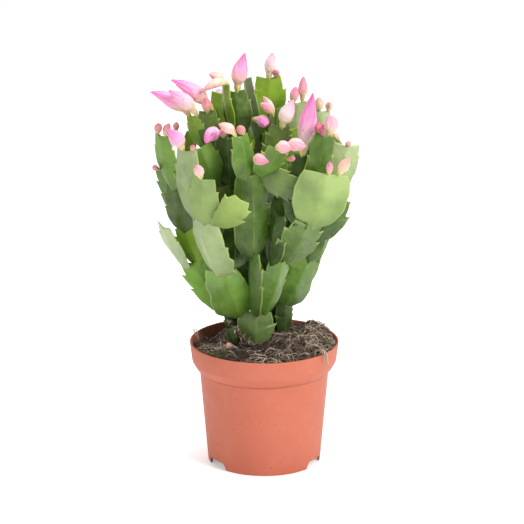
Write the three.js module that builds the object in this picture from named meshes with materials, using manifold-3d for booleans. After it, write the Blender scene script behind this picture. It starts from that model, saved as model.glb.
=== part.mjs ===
// A christmas cactus with its buds, in a plastic nursery pot filled with peat.
// Millimetres, +Z up. The origin is the middle of the pot's foot, on the surface that it stands on.
// The front is -Y and the right is +X.

import * as THREE from "three";
import { mergeVertices } from "three/addons/utils/BufferGeometryUtils.js";
import Module from "manifold-3d";

const wasm = await Module();
wasm.setup();

// Pot
const POT_HEIGHT = 87.2;
const RIM_RADIUS = 52.5;
const SHOULDER_TOP_RADIUS = 50.9;
const SHOULDER_TOP = 73.8;
const SHOULDER_MIDDLE_RADIUS = 48.2;
const SHOULDER_MIDDLE = 69;
const BODY_TOP_RADIUS = 45.6;
const BODY_TOP = 66.8;
const FOOT_RADIUS = 39.8;
const WALL = 1.4;
const FLOOR_UNDERSIDE = 6;
const FLOOR_TOP = 7.4;
const BOSS_RADIUS = 6;
const POT_SEGMENTS = 36;
const NOTCH_ANGLES = [-57, 63, 183];
const NOTCH_HEIGHT = 5;
const NOTCH_HALF_WIDTH = 10.5;
const NOTCH_TOP_HALF_WIDTH = 8.2;
const NOTCH_DEPTH = 14;
const NOTCH_INNER_RADIUS = 29.8;
const DRAIN_RADIUS = 3;
const DRAIN_CIRCLE = 27;
const DRAIN_COUNT = 6;
const DRAIN_SEGMENTS = 8;
const DRAFT = 0.4;
const LIP_CHAMFER = 0.5;
const INNER_STEP_TOP_RISE = 0.5;
const INNER_STEP_FOOT_RISE = 0.8;
const CUT_MARGIN = 1;

// Soil
const SOIL_LEVEL = 85;
const SOIL_SEGMENTS = 24;
const SOIL_RINGS = [0, 0.32, 0.56, 0.76, 0.91, 1];
const FOOT_CLEARANCE = 0.3;
const WALL_CLEARANCE = 0.5;
const CALM_RADIUS = 9;
const ROUGH_RADIUS = 18;
const RIPPLE_HEIGHT = 1.1;
const RIPPLE_ACROSS = 0.31;
const RIPPLE_DEEP = 0.27;
const RIPPLE_SKEW = 0.08;

// Mounds and hollows of the soil: [x, y, radius, height]
const MOUNDS = [
  [32, -6, 17, 5],
  [36, 20, 17, 6],
  [-8, -32, 16, -1],
  [-34, 28, 22, -6],
  [-46, -6, 16, -3],
  [47, 8, 10, -5],
  [20, -44, 12, -2],
];

// Blades, the flat segments that the stems are made of
const EDGE_THICKNESS = 1;
const RIB_THICKNESS_BASE = 3;
const RIB_THICKNESS_TIP = 1.8;
const STUB_THICKNESS = 5.6;
const ROOT_SINK = 1.5;
const TIP_SPREAD = 0.6;
const TIP_ANCHOR = 0.95;
const JITTER = 0.03;

// Stem feet, the woody oval roots that stand in the soil's holes
const FOOT_BOTTOM = 68;
const FOOT_THICKNESS_RADIUS = 3.2;
const FOOT_SIDES = 10;
const FOOT_DROP = 0.5;
const STUB_DROP = 0.8;

// Buds
const BUD_GAP = 0.55;
const BUD_BEND = 0.45;

// A direction that no bud runs along, which settles where the rings of a bud start
const BUD_LEVEL = new THREE.Vector3(0.31, -0.17, 0.93);

// A small repeatable random source, one for each seed
function randomSource(seed) {
  let state = seed >>> 0;
  return () => {
    state = (state + 0x6d2b79f5) >>> 0;
    let t = state;
    t = Math.imul(t ^ (t >>> 15), t | 1);
    t ^= t + Math.imul(t ^ (t >>> 7), t | 61);
    return ((t ^ (t >>> 14)) >>> 0) / 4294967296;
  };
}

const degrees = THREE.MathUtils.degToRad;
const mix = THREE.MathUtils.lerp;

// Each outline is one half of a blade, from its joint to its tip. A blade names one for both halves, or
// its left and right ones with a slash between, which are then tied to the same places along the rib.
// A point is [share of the half width, place along the edge, place along the rib that it is tied to].
const OUTLINES = {
  toothed: [
    [0.14, 0, 0],
    [0.62, 0.1, 0.08],
    [0.92, 0.28, 0.24],
    [1.07, 0.57, 0.42],
    [0.86, 0.56, 0.56],
    [0.99, 0.83, 0.7],
    [0.77, 0.82, 0.83],
    [0.7, 1.03, 0.97],
  ],
  broad: [
    [0.3, 0, 0],
    [0.94, 0.12, 0.08],
    [1.05, 0.34, 0.26],
    [0.98, 0.54, 0.42],
    [0.85, 0.53, 0.56],
    [0.92, 0.8, 0.7],
    [0.74, 0.79, 0.82],
    [0.7, 1.02, 0.97],
  ],
  full: [
    [0.34, 0, 0],
    [1.02, 0.08, 0.08],
    [1.08, 0.3, 0.24],
    [1, 0.46, 0.42],
    [0.94, 0.57, 0.56],
    [0.95, 0.76, 0.7],
    [0.86, 0.84, 0.83],
    [0.7, 1.02, 0.97],
  ],
  slim: [
    [0.14, 0, 0],
    [0.62, 0.08, 0.08],
    [0.74, 0.26, 0.24],
    [0.74, 0.44, 0.42],
    [0.7, 0.58, 0.56],
    [0.66, 0.74, 0.7],
    [0.56, 0.87, 0.83],
    [0.44, 1.02, 0.97],
  ],
  fan: [
    [0.14, 0, 0],
    [0.24, 0.1, 0.08],
    [0.42, 0.3, 0.24],
    [0.58, 0.5, 0.42],
    [0.68, 0.66, 0.56],
    [0.84, 0.87, 0.7],
    [0.6, 0.86, 0.83],
    [0.45, 1.01, 0.97],
  ],
  hooked: [
    [0.14, 0, 0],
    [0.6, 0.1, 0.08],
    [0.95, 0.3, 0.24],
    [1.14, 0.55, 0.42],
    [0.89, 0.57, 0.56],
    [0.92, 0.86, 0.7],
    [0.7, 0.87, 0.83],
    [0.55, 1.01, 0.97],
  ],
  plain: [
    [0.3, 0, 0],
    [0.56, 0.06, 0.07],
    [0.78, 0.17, 0.19],
    [0.88, 0.3, 0.3],
    [0.92, 0.4, 0.4],
    [0.92, 0.52, 0.51],
    [0.9, 0.63, 0.62],
    [0.86, 0.76, 0.74],
    [0.78, 0.88, 0.86],
    [0.62, 1.03, 0.97],
  ],
  sawn: [
    [0.14, 0, 0],
    [0.58, 0.06, 0.07],
    [0.9, 0.18, 0.19],
    [1.1, 0.32, 0.3],
    [0.82, 0.37, 0.4],
    [1.06, 0.57, 0.51],
    [0.76, 0.61, 0.62],
    [0.94, 0.81, 0.74],
    [0.6, 0.84, 0.86],
    [0.42, 1, 0.97],
  ],
  barbed: [
    [0.4, 0, 0],
    [1.02, 0.06, 0.07],
    [0.82, 0.12, 0.19],
    [1.06, 0.32, 0.3],
    [0.87, 0.37, 0.4],
    [0.98, 0.54, 0.51],
    [0.84, 0.58, 0.62],
    [0.86, 0.74, 0.74],
    [0.78, 0.86, 0.86],
    [0.6, 1, 0.97],
  ],
  lobed: [
    [0.14, 0, 0],
    [0.66, 0.1, 0.09],
    [1, 0.36, 0.3],
    [1.01, 0.77, 0.6],
    [0.84, 0.77, 0.8],
    [0.76, 1.02, 0.97],
  ],
  wedge: [
    [0.14, 0, 0],
    [0.42, 0.14, 0.12],
    [0.74, 0.44, 0.4],
    [1.02, 0.8, 0.68],
    [0.86, 0.8, 0.8],
    [0.9, 1.02, 0.97],
  ],
  round: [
    [0.14, 0, 0],
    [0.6, 0.12, 0.1],
    [0.96, 0.36, 0.32],
    [1.05, 0.62, 0.54],
    [1, 0.84, 0.78],
    [0.86, 0.975, 0.97],
  ],
  stub: [
    [0.48, 0, 0],
    [0.84, 0.34, 0.3],
    [1.02, 0.64, 0.5],
    [0.88, 0.65, 0.63],
    [0.8, 1.02, 0.98],
  ],
  trunk: [
    [0.48, 0, 0],
    [0.76, 0.3, 0.3],
    [0.88, 0.54, 0.5],
    [0.9, 0.7, 0.63],
    [0.84, 1.02, 0.98],
  ],
  hidden: [
    [0.14, 0, 0],
    [0.7, 0.16, 0.14],
    [1.02, 0.55, 0.42],
    [0.84, 0.56, 0.58],
    [0.76, 1.02, 0.97],
  ],
};

// The plant's stems. Each has the [x, y] of its foot, the turn of that foot, its half width and its blades.
// A blade is [name, parent, place across the parent's tip, tip, width, face, fold, bow, outline].
// face is where the flat side looks, in degrees from the front toward the right. fold bends both
// edges back from the rib, in degrees. bow is how far the middle bulges toward the face.
const STEMS = [
  {
    name: "stem_front",
    foot: [-6, 2],
    turn: 5,
    halfWidth: 9,
    blades: [
      ["front0", null, 0, [-6, 1, 106], 28, 5, 6, 0.5, "trunk/stub"],
      ["front1", "front0", -1.2, [-29, -17, 143], 33, -2, 24, 1, "full/slim"],
      ["front2", "front0", -0.2, [-8, -17, 157], 22, -64, 16, 1, "toothed"],
      ["front3", "front0", 0.7, [12, -8, 147], 24, 38, 22, 1.5, "toothed"],
      ["front4", "front1", -0.4, [-43, -32, 184], 30, -38, 18, 2, "plain/barbed"],
      ["front5", "front4", 0.2, [-41, -42, 215], 21, -22, 10, 2, "lobed"],
      ["front6", "front4", 0.9, [-16, -50, 203], 25, 12, 6, 2, "fan/hooked"],
      ["front7", "front4", -0.9, [-53, -34, 233], 21, -36, 10, 2, "lobed"],
      ["front8", "front1", 0.9, [-20, -7, 171], 22, 0, 14, 1, "hidden"],
      ["front9", "front8", -0.4, [-28, -17, 204], 22, -8, 12, 1, "toothed"],
      ["front10", "front9", -0.9, [-43, -29, 234], 20, 14, 12, 2, "lobed"],
      ["front11", "front9", 0.8, [-25, -18, 238], 22, -12, 10, 2, "lobed"],
      ["front12", "front2", 0, [-9, -32, 216], 29, 22, 18, 2.5, "plain/sawn"],
      ["front13", "front12", -0.5, [-16, -33, 243], 17, 34, 12, 2, "lobed"],
      ["front14", "front12", 0.9, [9, -40, 236], 20, 24, 10, 2, "toothed"],
      ["front15", "front3", -0.9, [9, -20, 184], 18, -42, 14, 1, "toothed"],
      ["front16", "front12", 1.15, [25, -29, 202], 18, 12, 8, 1, "toothed"],
      ["front17", "front3", 0.9, [30, -30, 180], 28, 16, 10, 2, "toothed"],
      ["front18", "front17", 0.45, [42, -40, 219], 36, 6, 8, 3, "round"],
      ["front19", "front17", -0.1, [41, -30, 243], 18, 16, 8, 1, "lobed"],
      ["front20", "front17", -1, [27, -16, 225], 20, -6, 12, 1, "toothed"],
    ],
  },
  {
    name: "stem_right",
    foot: [14, 24],
    turn: 15,
    halfWidth: 6,
    blades: [
      ["right0", null, 0, [14, 24, 106], 13, 24, 6, 0.5, "stub"],
      ["right1", "right0", 0, [32, 12, 144], 29, 28, 16, 1, "toothed/full"],
      ["right2", "right1", 0, [37, 7, 160], 17, 14, 10, 0, "hidden"],
      ["right3", "right2", 0.2, [50, 2, 194], 30, 18, 10, 1, "full/hooked"],
      ["right4", "right3", 0.3, [57, -3, 229], 20, 4, 8, 1, "wedge"],
      ["right5", "right3", -0.9, [46, 9, 229], 17, -14, 10, 1, "toothed"],
      ["right6", "right1", 1, [51, 26, 174], 23, 76, 12, 1, "toothed"],
      ["right7", "right6", 0, [60, 22, 206], 22, 80, 10, 2, "toothed"],
      ["right8", "right7", 0, [52, 27, 225], 18, 78, 10, 1, "lobed"],
    ],
  },
  {
    name: "stem_left",
    foot: [-21, 19],
    turn: -10,
    halfWidth: 6,
    blades: [
      ["left0", null, 0, [-24, 18, 104], 11, -10, 4, 0.5, "stub"],
      ["left1", "left0", -0.5, [-50, 8, 142], 29, -22, 12, 1.5, "toothed"],
      ["left2", "left1", -0.9, [-70, -4, 171], 21, -52, 8, 2, "lobed"],
      ["left3", "left1", 0.5, [-56, 6, 167], 22, -26, 12, 1, "toothed"],
      ["left4", "left3", 0, [-61, 5, 198], 23, -22, 12, 1, "toothed"],
      ["left5", "left4", -0.5, [-71, -3, 236], 20, -48, 10, 1.5, "lobed"],
      ["left6", "left4", 0.9, [-54, -9, 221], 15, 4, 10, 1, "toothed"],
      ["left7", "left0", 0.4, [-46, 20, 141], 20, -72, 12, 1, "hidden"],
      ["left8", "left7", 0, [-56, 19, 174], 21, -84, 12, 1, "toothed"],
      ["left9", "left8", 0, [-71, 24, 205], 26, -46, 10, 2, "toothed"],
      ["left10", "left9", 0, [-62, 26, 233], 19, -92, 10, 1, "lobed"],
    ],
  },
  {
    name: "stem_middle",
    foot: [-3, 18],
    turn: 0,
    halfWidth: 5.5,
    blades: [
      ["middle0", null, 0, [-3, 18, 106], 15, 0, 6, 0.5, "stub"],
      ["middle1", "middle0", 0, [-11, 14, 141], 20, -8, 14, 1, "hidden"],
      ["middle2", "middle1", 0, [-12, 7, 177], 22, 0, 14, 1, "hidden"],
      ["middle3", "middle2", -0.5, [-18, 4, 211], 22, -10, 12, 1, "hidden"],
      ["middle4", "middle3", 0.3, [-18, 7, 238], 18, -10, 10, 1, "hidden"],
      ["middle5", "middle4", 0.2, [-20, 10, 264], 19, 0, 10, 1, "lobed"],
      ["middle6", "middle4", -0.9, [-27, 5, 270], 15, -64, 8, 1, "lobed"],
      ["middle7", "middle3", -0.9, [-37, -6, 231], 20, -24, 12, 1, "toothed"],
      ["middle8", "middle7", -0.1, [-39, -8, 254], 15, -4, 10, 1, "lobed"],
      ["middle9", "middle7", -1.3, [-49, -5, 250], 14, -34, 10, 1, "lobed"],
      ["middle10", "middle7", 1.2, [-36, 4, 252], 13, 44, 10, 1, "lobed"],
      ["middle11", "middle2", 0.9, [0, -8, 215], 21, 14, 12, 1, "lobed"],
      ["middle12", "middle11", 0.9, [11, -12, 244], 18, 10, 10, 1, "toothed"],
      ["middle13", "middle11", 0, [6, 1, 249], 13, 80, 8, 1, "lobed"],
    ],
  },
  {
    name: "stem_back",
    foot: [4, 33],
    turn: 0,
    halfWidth: 5.5,
    blades: [
      ["back0", null, 0, [4, 34, 108], 15, 0, 6, 0.5, "stub"],
      ["back1", "back0", -0.3, [4, 29, 147], 20, 0, 12, 1, "hidden"],
      ["back2", "back1", 0, [5, 25, 186], 22, 0, 12, 1, "hidden"],
      ["back3", "back2", -0.4, [2, 27, 227], 22, -6, 10, 1, "toothed"],
      ["back4", "back3", 0.5, [3, 31, 269], 24, 2, 6, 1, "toothed"],
      ["back5", "back3", -1.1, [-12, 24, 271], 15, -57, 8, 1, "lobed"],
      ["back6", "back2", 0.8, [13, 9, 215], 20, 24, 12, 1, "hidden"],
      ["back7", "back6", -0.8, [9, 12, 252], 18, 8, 10, 1, "toothed"],
      ["back8", "back6", 0.8, [19, -2, 240], 17, 20, 10, 1, "toothed"],
      ["back9", "back0", 0.4, [0, 52, 145], 22, 180, 12, 1, "hidden"],
      ["back10", "back9", 0, [-3, 66, 181], 26, 176, 10, 2, "toothed"],
      ["back11", "back10", 0.7, [-12, 71, 216], 22, 188, 8, 2, "lobed"],
      ["back12", "back10", -0.8, [14, 66, 216], 22, 168, 8, 2, "toothed"],
      ["back13", "back11", 0, [-8, 66, 243], 20, 184, 8, 2, "lobed"],
    ],
  },
  {
    name: "stem_back_left",
    foot: [-17, 33],
    turn: -30,
    halfWidth: 5.5,
    blades: [
      ["backleft0", null, 0, [-18, 35, 107], 15, -30, 6, 0.5, "stub"],
      ["backleft1", "backleft0", -0.7, [-34, 42, 142], 25, 220, 12, 1, "toothed"],
      ["backleft2", "backleft1", 0.8, [-50, 43, 177], 21, 238, 10, 2, "toothed"],
      ["backleft3", "backleft2", 0, [-56, 42, 205], 23, 240, 8, 2, "toothed"],
      ["backleft4", "backleft3", 0, [-52, 41, 229], 19, 238, 8, 1, "lobed"],
      ["backleft5", "backleft1", -0.8, [-30, 58, 178], 22, 206, 10, 2, "toothed"],
      ["backleft6", "backleft5", 0, [-37, 62, 214], 24, 212, 8, 2, "lobed"],
      ["backleft7", "backleft6", 0, [-31, 56, 243], 19, 206, 8, 2, "lobed"],
      ["backleft8", "backleft0", 0.8, [-16, 38, 145], 18, 0, 12, 1, "hidden"],
      ["backleft9", "backleft8", 0, [-20, 40, 183], 20, -10, 12, 1, "hidden"],
      ["backleft10", "backleft9", 0, [-26, 38, 221], 22, -20, 10, 1, "hidden"],
      ["backleft11", "backleft10", 0, [-30, 33, 258], 19, -10, 10, 1, "lobed"],
    ],
  },
  {
    name: "stem_back_right",
    foot: [15, 36],
    turn: 30,
    halfWidth: 5.5,
    blades: [
      ["backright0", null, 0, [17, 38, 107], 10, 30, 6, 0.5, "stub"],
      ["backright1", "backright0", 0.7, [29, 48, 143], 24, 140, 12, 1, "toothed"],
      ["backright2", "backright1", -0.4, [46, 48, 176], 24, 124, 10, 2, "toothed"],
      ["backright3", "backright2", 0, [52, 47, 205], 23, 122, 8, 2, "toothed"],
      ["backright4", "backright3", 0, [47, 43, 223], 17, 124, 8, 1, "lobed"],
      ["backright5", "backright1", 0.7, [32, 60, 178], 24, 152, 10, 2, "toothed"],
      ["backright6", "backright5", 0, [34, 64, 210], 25, 150, 8, 2, "lobed"],
      ["backright7", "backright6", 0, [31, 56, 234], 20, 154, 8, 1, "lobed"],
      ["backright8", "backright0", 0.2, [27, 39, 145], 16, 0, 12, 1, "hidden"],
      ["backright9", "backright8", 0, [25, 32, 183], 24, 10, 12, 1, "hidden"],
      ["backright10", "backright9", 0, [27, 25, 219], 22, 10, 10, 1, "hidden"],
      ["backright11", "backright10", -0.9, [23, 15, 255], 17, 8, 10, 1, "lobed"],
      ["backright12", "backright10", 1, [41, 23, 247], 16, 24, 10, 1, "lobed"],
    ],
  },
];

// Each bud grows from a blade: [name, blade, place across its width, place along it, tip, width, kind].
// At 1 along, the bud grows from the blade's tip. Elsewhere it grows from the edge.
const BUDS = [
  ["bud_01", "middle5", 0.15, 1, [-13, 8, 292], 10.5, "large"],
  ["bud_02", "back4", 0, 1, [6, 28, 288], 7.5, "medium"],
  ["bud_03", "back4", 0.4, 1, [9, 26, 274], 4.5, "small"],
  ["bud_04", "middle10", 0, 1, [-64, -6, 276], 10.5, "large"],
  ["bud_05", "middle9", -0.45, 1, [-78, -12, 269], 10, "large"],
  ["bud_06", "middle9", 0.45, 1, [-65, -21, 272], 9.5, "large"],
  ["bud_07", "middle8", 0, 1, [-40, -13, 265], 6.5, "small"],
  ["bud_08", "middle6", -0.35, 1, [-38, 3, 278], 7, "medium"],
  ["bud_09", "middle6", 0.4, 1, [-42, -6, 268], 6, "small"],
  ["bud_10", "front7", -0.3, 1, [-65, -44, 250], 10, "large"],
  ["bud_11", "front7", 0.5, 1, [-48, -39, 238], 3.5, "small"],
  ["bud_12", "left5", -0.4, 1, [-72, -5, 245], 5, "small"],
  ["bud_13", "left5", 0.4, 1, [-65, -8, 246], 5, "small"],
  ["bud_14", "left10", 0, 1, [-61, 25, 239], 4, "small"],
  ["bud_15", "backleft4", 0, 1, [-52, 40, 235], 4, "small"],
  ["bud_16", "front5", -0.2, 1, [-46, -50, 227], 6.5, "medium"],
  ["bud_17", "left5", -1, 0.3, [-74, -3, 213], 3.6, "small"],
  ["bud_18", "front11", -0.6, 1, [-40, -34, 238.5], 9.2, "medium"],
  ["bud_19", "front11", -0.3, 1, [-28, -25, 245], 5, "small"],
  ["bud_20", "front13", -0.4, 1, [-31, -40, 253], 6.5, "medium"],
  ["bud_21", "front13", 0.3, 1, [-18, -39, 250], 5.5, "small"],
  ["bud_22", "front14", 1, 0.7, [18, -46, 232], 3.8, "small"],
  ["bud_23", "front14", -1, 0.62, [3, -51, 229.5], 7.5, "medium"],
  ["bud_24", "middle5", 1, 0.3, [0, -16, 246.5], 7.8, "medium"],
  ["bud_25", "middle13", -0.35, 1, [-3, -6, 259], 6, "small"],
  ["bud_26", "middle13", 0.4, 1, [-1, 4, 262], 4.5, "small"],
  ["bud_27", "middle12", 0.1, 1, [20, -18, 265], 10, "large"],
  ["bud_28", "backright11", -0.35, 1, [22, 12, 267], 6, "small"],
  ["bud_29", "backright11", 0.4, 1, [27, 14, 274], 6, "medium"],
  ["bud_30", "front20", -0.1, 1, [33, -27, 272], 12, "large"],
  ["bud_31", "front19", 0.5, 1, [44.5, -33, 257.5], 9.6, "medium"],
  ["bud_32", "front19", -0.1, 1, [38, -35, 247.5], 3.4, "small"],
  ["bud_33", "front19", -0.7, 1, [39.5, -25, 248], 6, "small"],
  ["bud_34", "backright12", -0.4, 1, [38, 19, 258], 6, "small"],
  ["bud_35", "backright12", 0.5, 1, [45, 18, 254], 5, "small"],
  ["bud_36", "front14", -0.1, 1, [18, -50, 238], 8.5, "medium"],
  ["bud_37", "front14", 0.6, 1, [28, -50, 240], 8.5, "medium"],
  ["bud_38", "front18", 0.1, 1, [44, -46, 228.5], 4.4, "small"],
  ["bud_39", "front18", 0.5, 1, [57.5, -46, 231], 7, "medium"],
  ["bud_40", "right4", 0, 1, [59, -4, 232], 3.6, "small"],
  ["bud_41", "back13", 0, 1, [-10, 81, 251], 9.5, "large"],
  ["bud_42", "back12", 0, 1, [18, 78, 226], 7, "medium"],
  ["bud_43", "backleft6", 1, 0.72, [-53, 58, 211], 6, "small"],
  ["bud_44", "backleft7", 0, 1, [-33, 66, 253], 8, "medium"],
  ["bud_45", "backright7", 0, 1, [32, 66, 244], 9, "medium"],
  ["bud_46", "right8", 0, 1, [48, 33, 228], 4, "small"],
];

// A bud that has dropped off and lies on the soil
const FALLEN_BUD = { base: [-27.2, -9.4, 86.3], tip: [-22.6, -11.2, 86.3], width: 4.2, kind: "small" };

// Outline rings of a bud from its joint to its point: [place along, share of the half width, zigzag].
// A zigzag ring rises and falls round the bud, as the tips of a layer of petals do.
const BUD_PROFILES = {
  large: [
    [0, 0.26, 0],
    [0.1, 0.46, 0],
    [0.2, 0.46, 0],
    [0.32, 0.84, 0.04],
    [0.48, 1, 0.07],
    [0.58, 0.92, 0.07],
    [0.8, 0.54, 0],
  ],
  medium: [
    [0, 0.34, 0],
    [0.12, 0.56, 0],
    [0.26, 0.6, 0],
    [0.5, 1, 0.06],
    [0.53, 0.92, 0.06],
    [0.82, 0.55, 0],
  ],
  small: [
    [0, 0.4, 0],
    [0.2, 0.78, 0],
    [0.5, 1, 0.06],
    [0.8, 0.66, 0],
  ],
};
const BUD_SIDES = { large: 6, medium: 6, small: 5 };

// Turns a closed geometry into a solid that can be joined and cut
function toSolid(geometry) {
  const bare = geometry.index ? geometry.toNonIndexed() : geometry.clone();
  bare.deleteAttribute("normal");
  bare.deleteAttribute("uv");
  const merged = mergeVertices(bare, 1e-4);
  return new wasm.Manifold(
    new wasm.Mesh({
      numProp: 3,
      vertProperties: new Float32Array(merged.attributes.position.array),
      triVerts: new Uint32Array(merged.index.array),
    }),
  );
}

// Turns a solid back into a geometry
function toGeometry(solid) {
  const mesh = solid.getMesh();
  const geometry = new THREE.BufferGeometry();
  geometry.setAttribute("position", new THREE.BufferAttribute(new Float32Array(mesh.vertProperties), 3));
  geometry.setIndex(new THREE.BufferAttribute(new Uint32Array(mesh.triVerts), 1));
  geometry.computeVertexNormals();
  return geometry;
}

// Builds a geometry from a list of points and a list of corner triples
function polyhedron(points, triangles) {
  const geometry = new THREE.BufferGeometry();
  const coordinates = points.flatMap((point) => point.toArray());
  geometry.setAttribute("position", new THREE.Float32BufferAttribute(coordinates, 3));
  geometry.setIndex(triangles.flat());
  return geometry;
}

// One half of a blade's outline, with its teeth a little different on every blade and side
function halfOutline(kind, random) {
  const last = OUTLINES[kind].length - 1;
  return OUTLINES[kind].map(([across, along, rib], i) => {
    const free = i > 0 && i < last;
    return {
      across: across * (free ? 1 + JITTER * (random() * 2 - 1) : 1),
      along: along + (free ? JITTER * 0.5 * (random() * 2 - 1) : 0),
      rib,
    };
  });
}

// Where a blade runs and how it is turned, with a function that gives any point of its middle surface
function bladeFrame(blade, base) {
  const axis = blade.tip.clone().sub(base);
  const length = axis.length();
  axis.normalize();
  const face = degrees(blade.face);
  const normal = new THREE.Vector3(Math.sin(face), -Math.cos(face), 0);
  normal.addScaledVector(axis, -normal.dot(axis)).normalize();
  const side = new THREE.Vector3().crossVectors(axis, normal);
  const slope = Math.tan(degrees(blade.fold));
  const point = (across, along, lift = 0) => {
    const x = across * blade.width * 0.5;
    const bulge = blade.bow * 4 * along * (1 - along);
    return base
      .clone()
      .addScaledVector(axis, length * along)
      .addScaledVector(side, x)
      .addScaledVector(normal, bulge - slope * Math.abs(x) + lift);
  };
  return { axis, normal, side, length, point };
}

// A blade's closed solid: a front and a back face of the same triangles, and a rim between them
function bladeGeometry(blade) {
  const { left, right } = blade;
  const { point } = blade.frame;
  const points = [];
  for (const sign of [1, -1]) {
    for (let i = 0; i < left.length; i += 1) {
      const edgeLift = sign * EDGE_THICKNESS * 0.5;
      const ribThickness = mix(RIB_THICKNESS_BASE, RIB_THICKNESS_TIP, left[i].rib);
      const ribLift = sign * 0.5 * (blade.stub ? STUB_THICKNESS : ribThickness);
      points.push(point(-left[i].across, left[i].along, edgeLift));
      points.push(point(0, left[i].rib, ribLift));
      points.push(point(right[i].across, right[i].along, edgeLift));
    }
  }
  const columns = 3;
  const backStart = left.length * columns;
  const triangles = [];
  const quad = (a, b, c, d) => triangles.push([a, b, c], [a, c, d]);
  for (let i = 0; i < left.length - 1; i += 1) {
    for (let j = 0; j < columns - 1; j += 1) {
      const low = i * columns + j;
      const high = low + columns;
      const corners = [low, low + 1, high + 1, high];
      const [a, b, c, d] = j === 0 ? corners : [corners[1], corners[2], corners[3], corners[0]];
      quad(a, b, c, d);
      quad(backStart + a, backStart + d, backStart + c, backStart + b);
    }
    const [leftLow, leftHigh] = [i * columns, (i + 1) * columns];
    quad(leftLow, leftHigh, backStart + leftHigh, backStart + leftLow);
    const [rightLow, rightHigh] = [leftLow + columns - 1, leftHigh + columns - 1];
    quad(rightHigh, rightLow, backStart + rightLow, backStart + rightHigh);
  }
  const top = (left.length - 1) * columns;
  for (let j = 0; j < columns - 1; j += 1) {
    quad(j + 1, j, backStart + j, backStart + j + 1);
    quad(top + j, top + j + 1, backStart + top + j + 1, backStart + top + j);
  }
  return polyhedron(points, triangles);
}

// The oval foot of a stem, from below the soil to a little above it
function footGeometry(stem, grow) {
  const points = [];
  const levels = [FOOT_BOTTOM - grow, SOIL_LEVEL - FOOT_DROP + 4 * grow];
  const turn = degrees(stem.turn);
  for (const z of levels) {
    for (let i = 0; i < FOOT_SIDES; i += 1) {
      const angle = (i / FOOT_SIDES) * Math.PI * 2;
      const x = Math.cos(angle) * (stem.halfWidth + grow);
      const y = Math.sin(angle) * (FOOT_THICKNESS_RADIUS + grow);
      const px = stem.foot[0] + x * Math.cos(turn) - y * Math.sin(turn);
      const py = stem.foot[1] + x * Math.sin(turn) + y * Math.cos(turn);
      points.push(new THREE.Vector3(px, py, z));
    }
  }
  const triangles = [];
  for (let i = 0; i < FOOT_SIDES; i += 1) {
    const next = (i + 1) % FOOT_SIDES;
    triangles.push([i, next, FOOT_SIDES + next], [i, FOOT_SIDES + next, FOOT_SIDES + i]);
  }
  for (let i = 1; i < FOOT_SIDES - 1; i += 1) {
    triangles.push([0, i + 1, i], [FOOT_SIDES, FOOT_SIDES + i, FOOT_SIDES + i + 1]);
  }
  return polyhedron(points, triangles);
}

// Gives every blade its base, on its parent's tip or its stem's foot, and its frame
function growBlades() {
  const blades = new Map();
  let seed = 11;
  for (const stem of STEMS) {
    for (const [name, parent, across, tip, width, face, fold, bow, outline] of stem.blades) {
      const random = randomSource(seed);
      const [leftOutline, rightOutline = leftOutline] = outline.split("/");
      const left = halfOutline(leftOutline, random);
      const right = halfOutline(rightOutline, random);
      const stub = outline.endsWith("stub");
      const tipPoint = new THREE.Vector3(...tip);
      const blade = { name, stem, stub, tip: tipPoint, width, face, fold, bow, left, right };
      seed += 1;
      const base = parent
        ? blades.get(parent).frame.point(across * TIP_SPREAD, TIP_ANCHOR)
        : new THREE.Vector3(stem.foot[0], stem.foot[1], SOIL_LEVEL - STUB_DROP);
      const back = blade.tip.clone().sub(base).normalize();
      base.addScaledVector(back, -ROOT_SINK);
      blade.frame = bladeFrame(blade, base);
      blades.set(name, blade);
    }
  }
  return blades;
}

// A stem's blades and foot, fused
function stemSolid(stem, blades) {
  let solid = toSolid(footGeometry(stem, 0));
  for (const [name] of stem.blades) {
    solid = solid.add(toSolid(bladeGeometry(blades.get(name))));
  }
  return solid;
}

// A bud: rings round a bent line, closed by a flat joint and a point
function budGeometry(base, start, tip, width, kind) {
  const length = tip.distanceTo(base);
  const bend = base.clone().addScaledVector(start, length * BUD_BEND);
  const line = new THREE.QuadraticBezierCurve3(base, bend, tip);
  const sides = BUD_SIDES[kind];
  const points = [];
  for (const [along, share, zigzag] of BUD_PROFILES[kind]) {
    for (let i = 0; i < sides; i += 1) {
      const place = along + zigzag * (i % 2 === 0 ? 1 : -1);
      const tangent = line.getTangent(place);
      const right = new THREE.Vector3().crossVectors(tangent, BUD_LEVEL).normalize();
      const up = new THREE.Vector3().crossVectors(right, tangent);
      const angle = (i / sides) * Math.PI * 2;
      const radius = share * width * 0.5;
      points.push(
        line
          .getPoint(place)
          .addScaledVector(right, Math.cos(angle) * radius)
          .addScaledVector(up, Math.sin(angle) * radius),
      );
    }
  }
  const rings = BUD_PROFILES[kind].length;
  const apex = points.length;
  points.push(tip.clone());
  const triangles = [];
  for (let r = 0; r < rings - 1; r += 1) {
    for (let i = 0; i < sides; i += 1) {
      const [a, b] = [r * sides + i, r * sides + ((i + 1) % sides)];
      triangles.push([a, b + sides, b], [a, a + sides, b + sides]);
    }
  }
  for (let i = 0; i < sides; i += 1) {
    triangles.push([(rings - 1) * sides + i, apex, (rings - 1) * sides + ((i + 1) % sides)]);
  }
  for (let i = 1; i < sides - 1; i += 1) {
    triangles.push([0, i, i + 1]);
  }
  return polyhedron(points, triangles);
}

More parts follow.
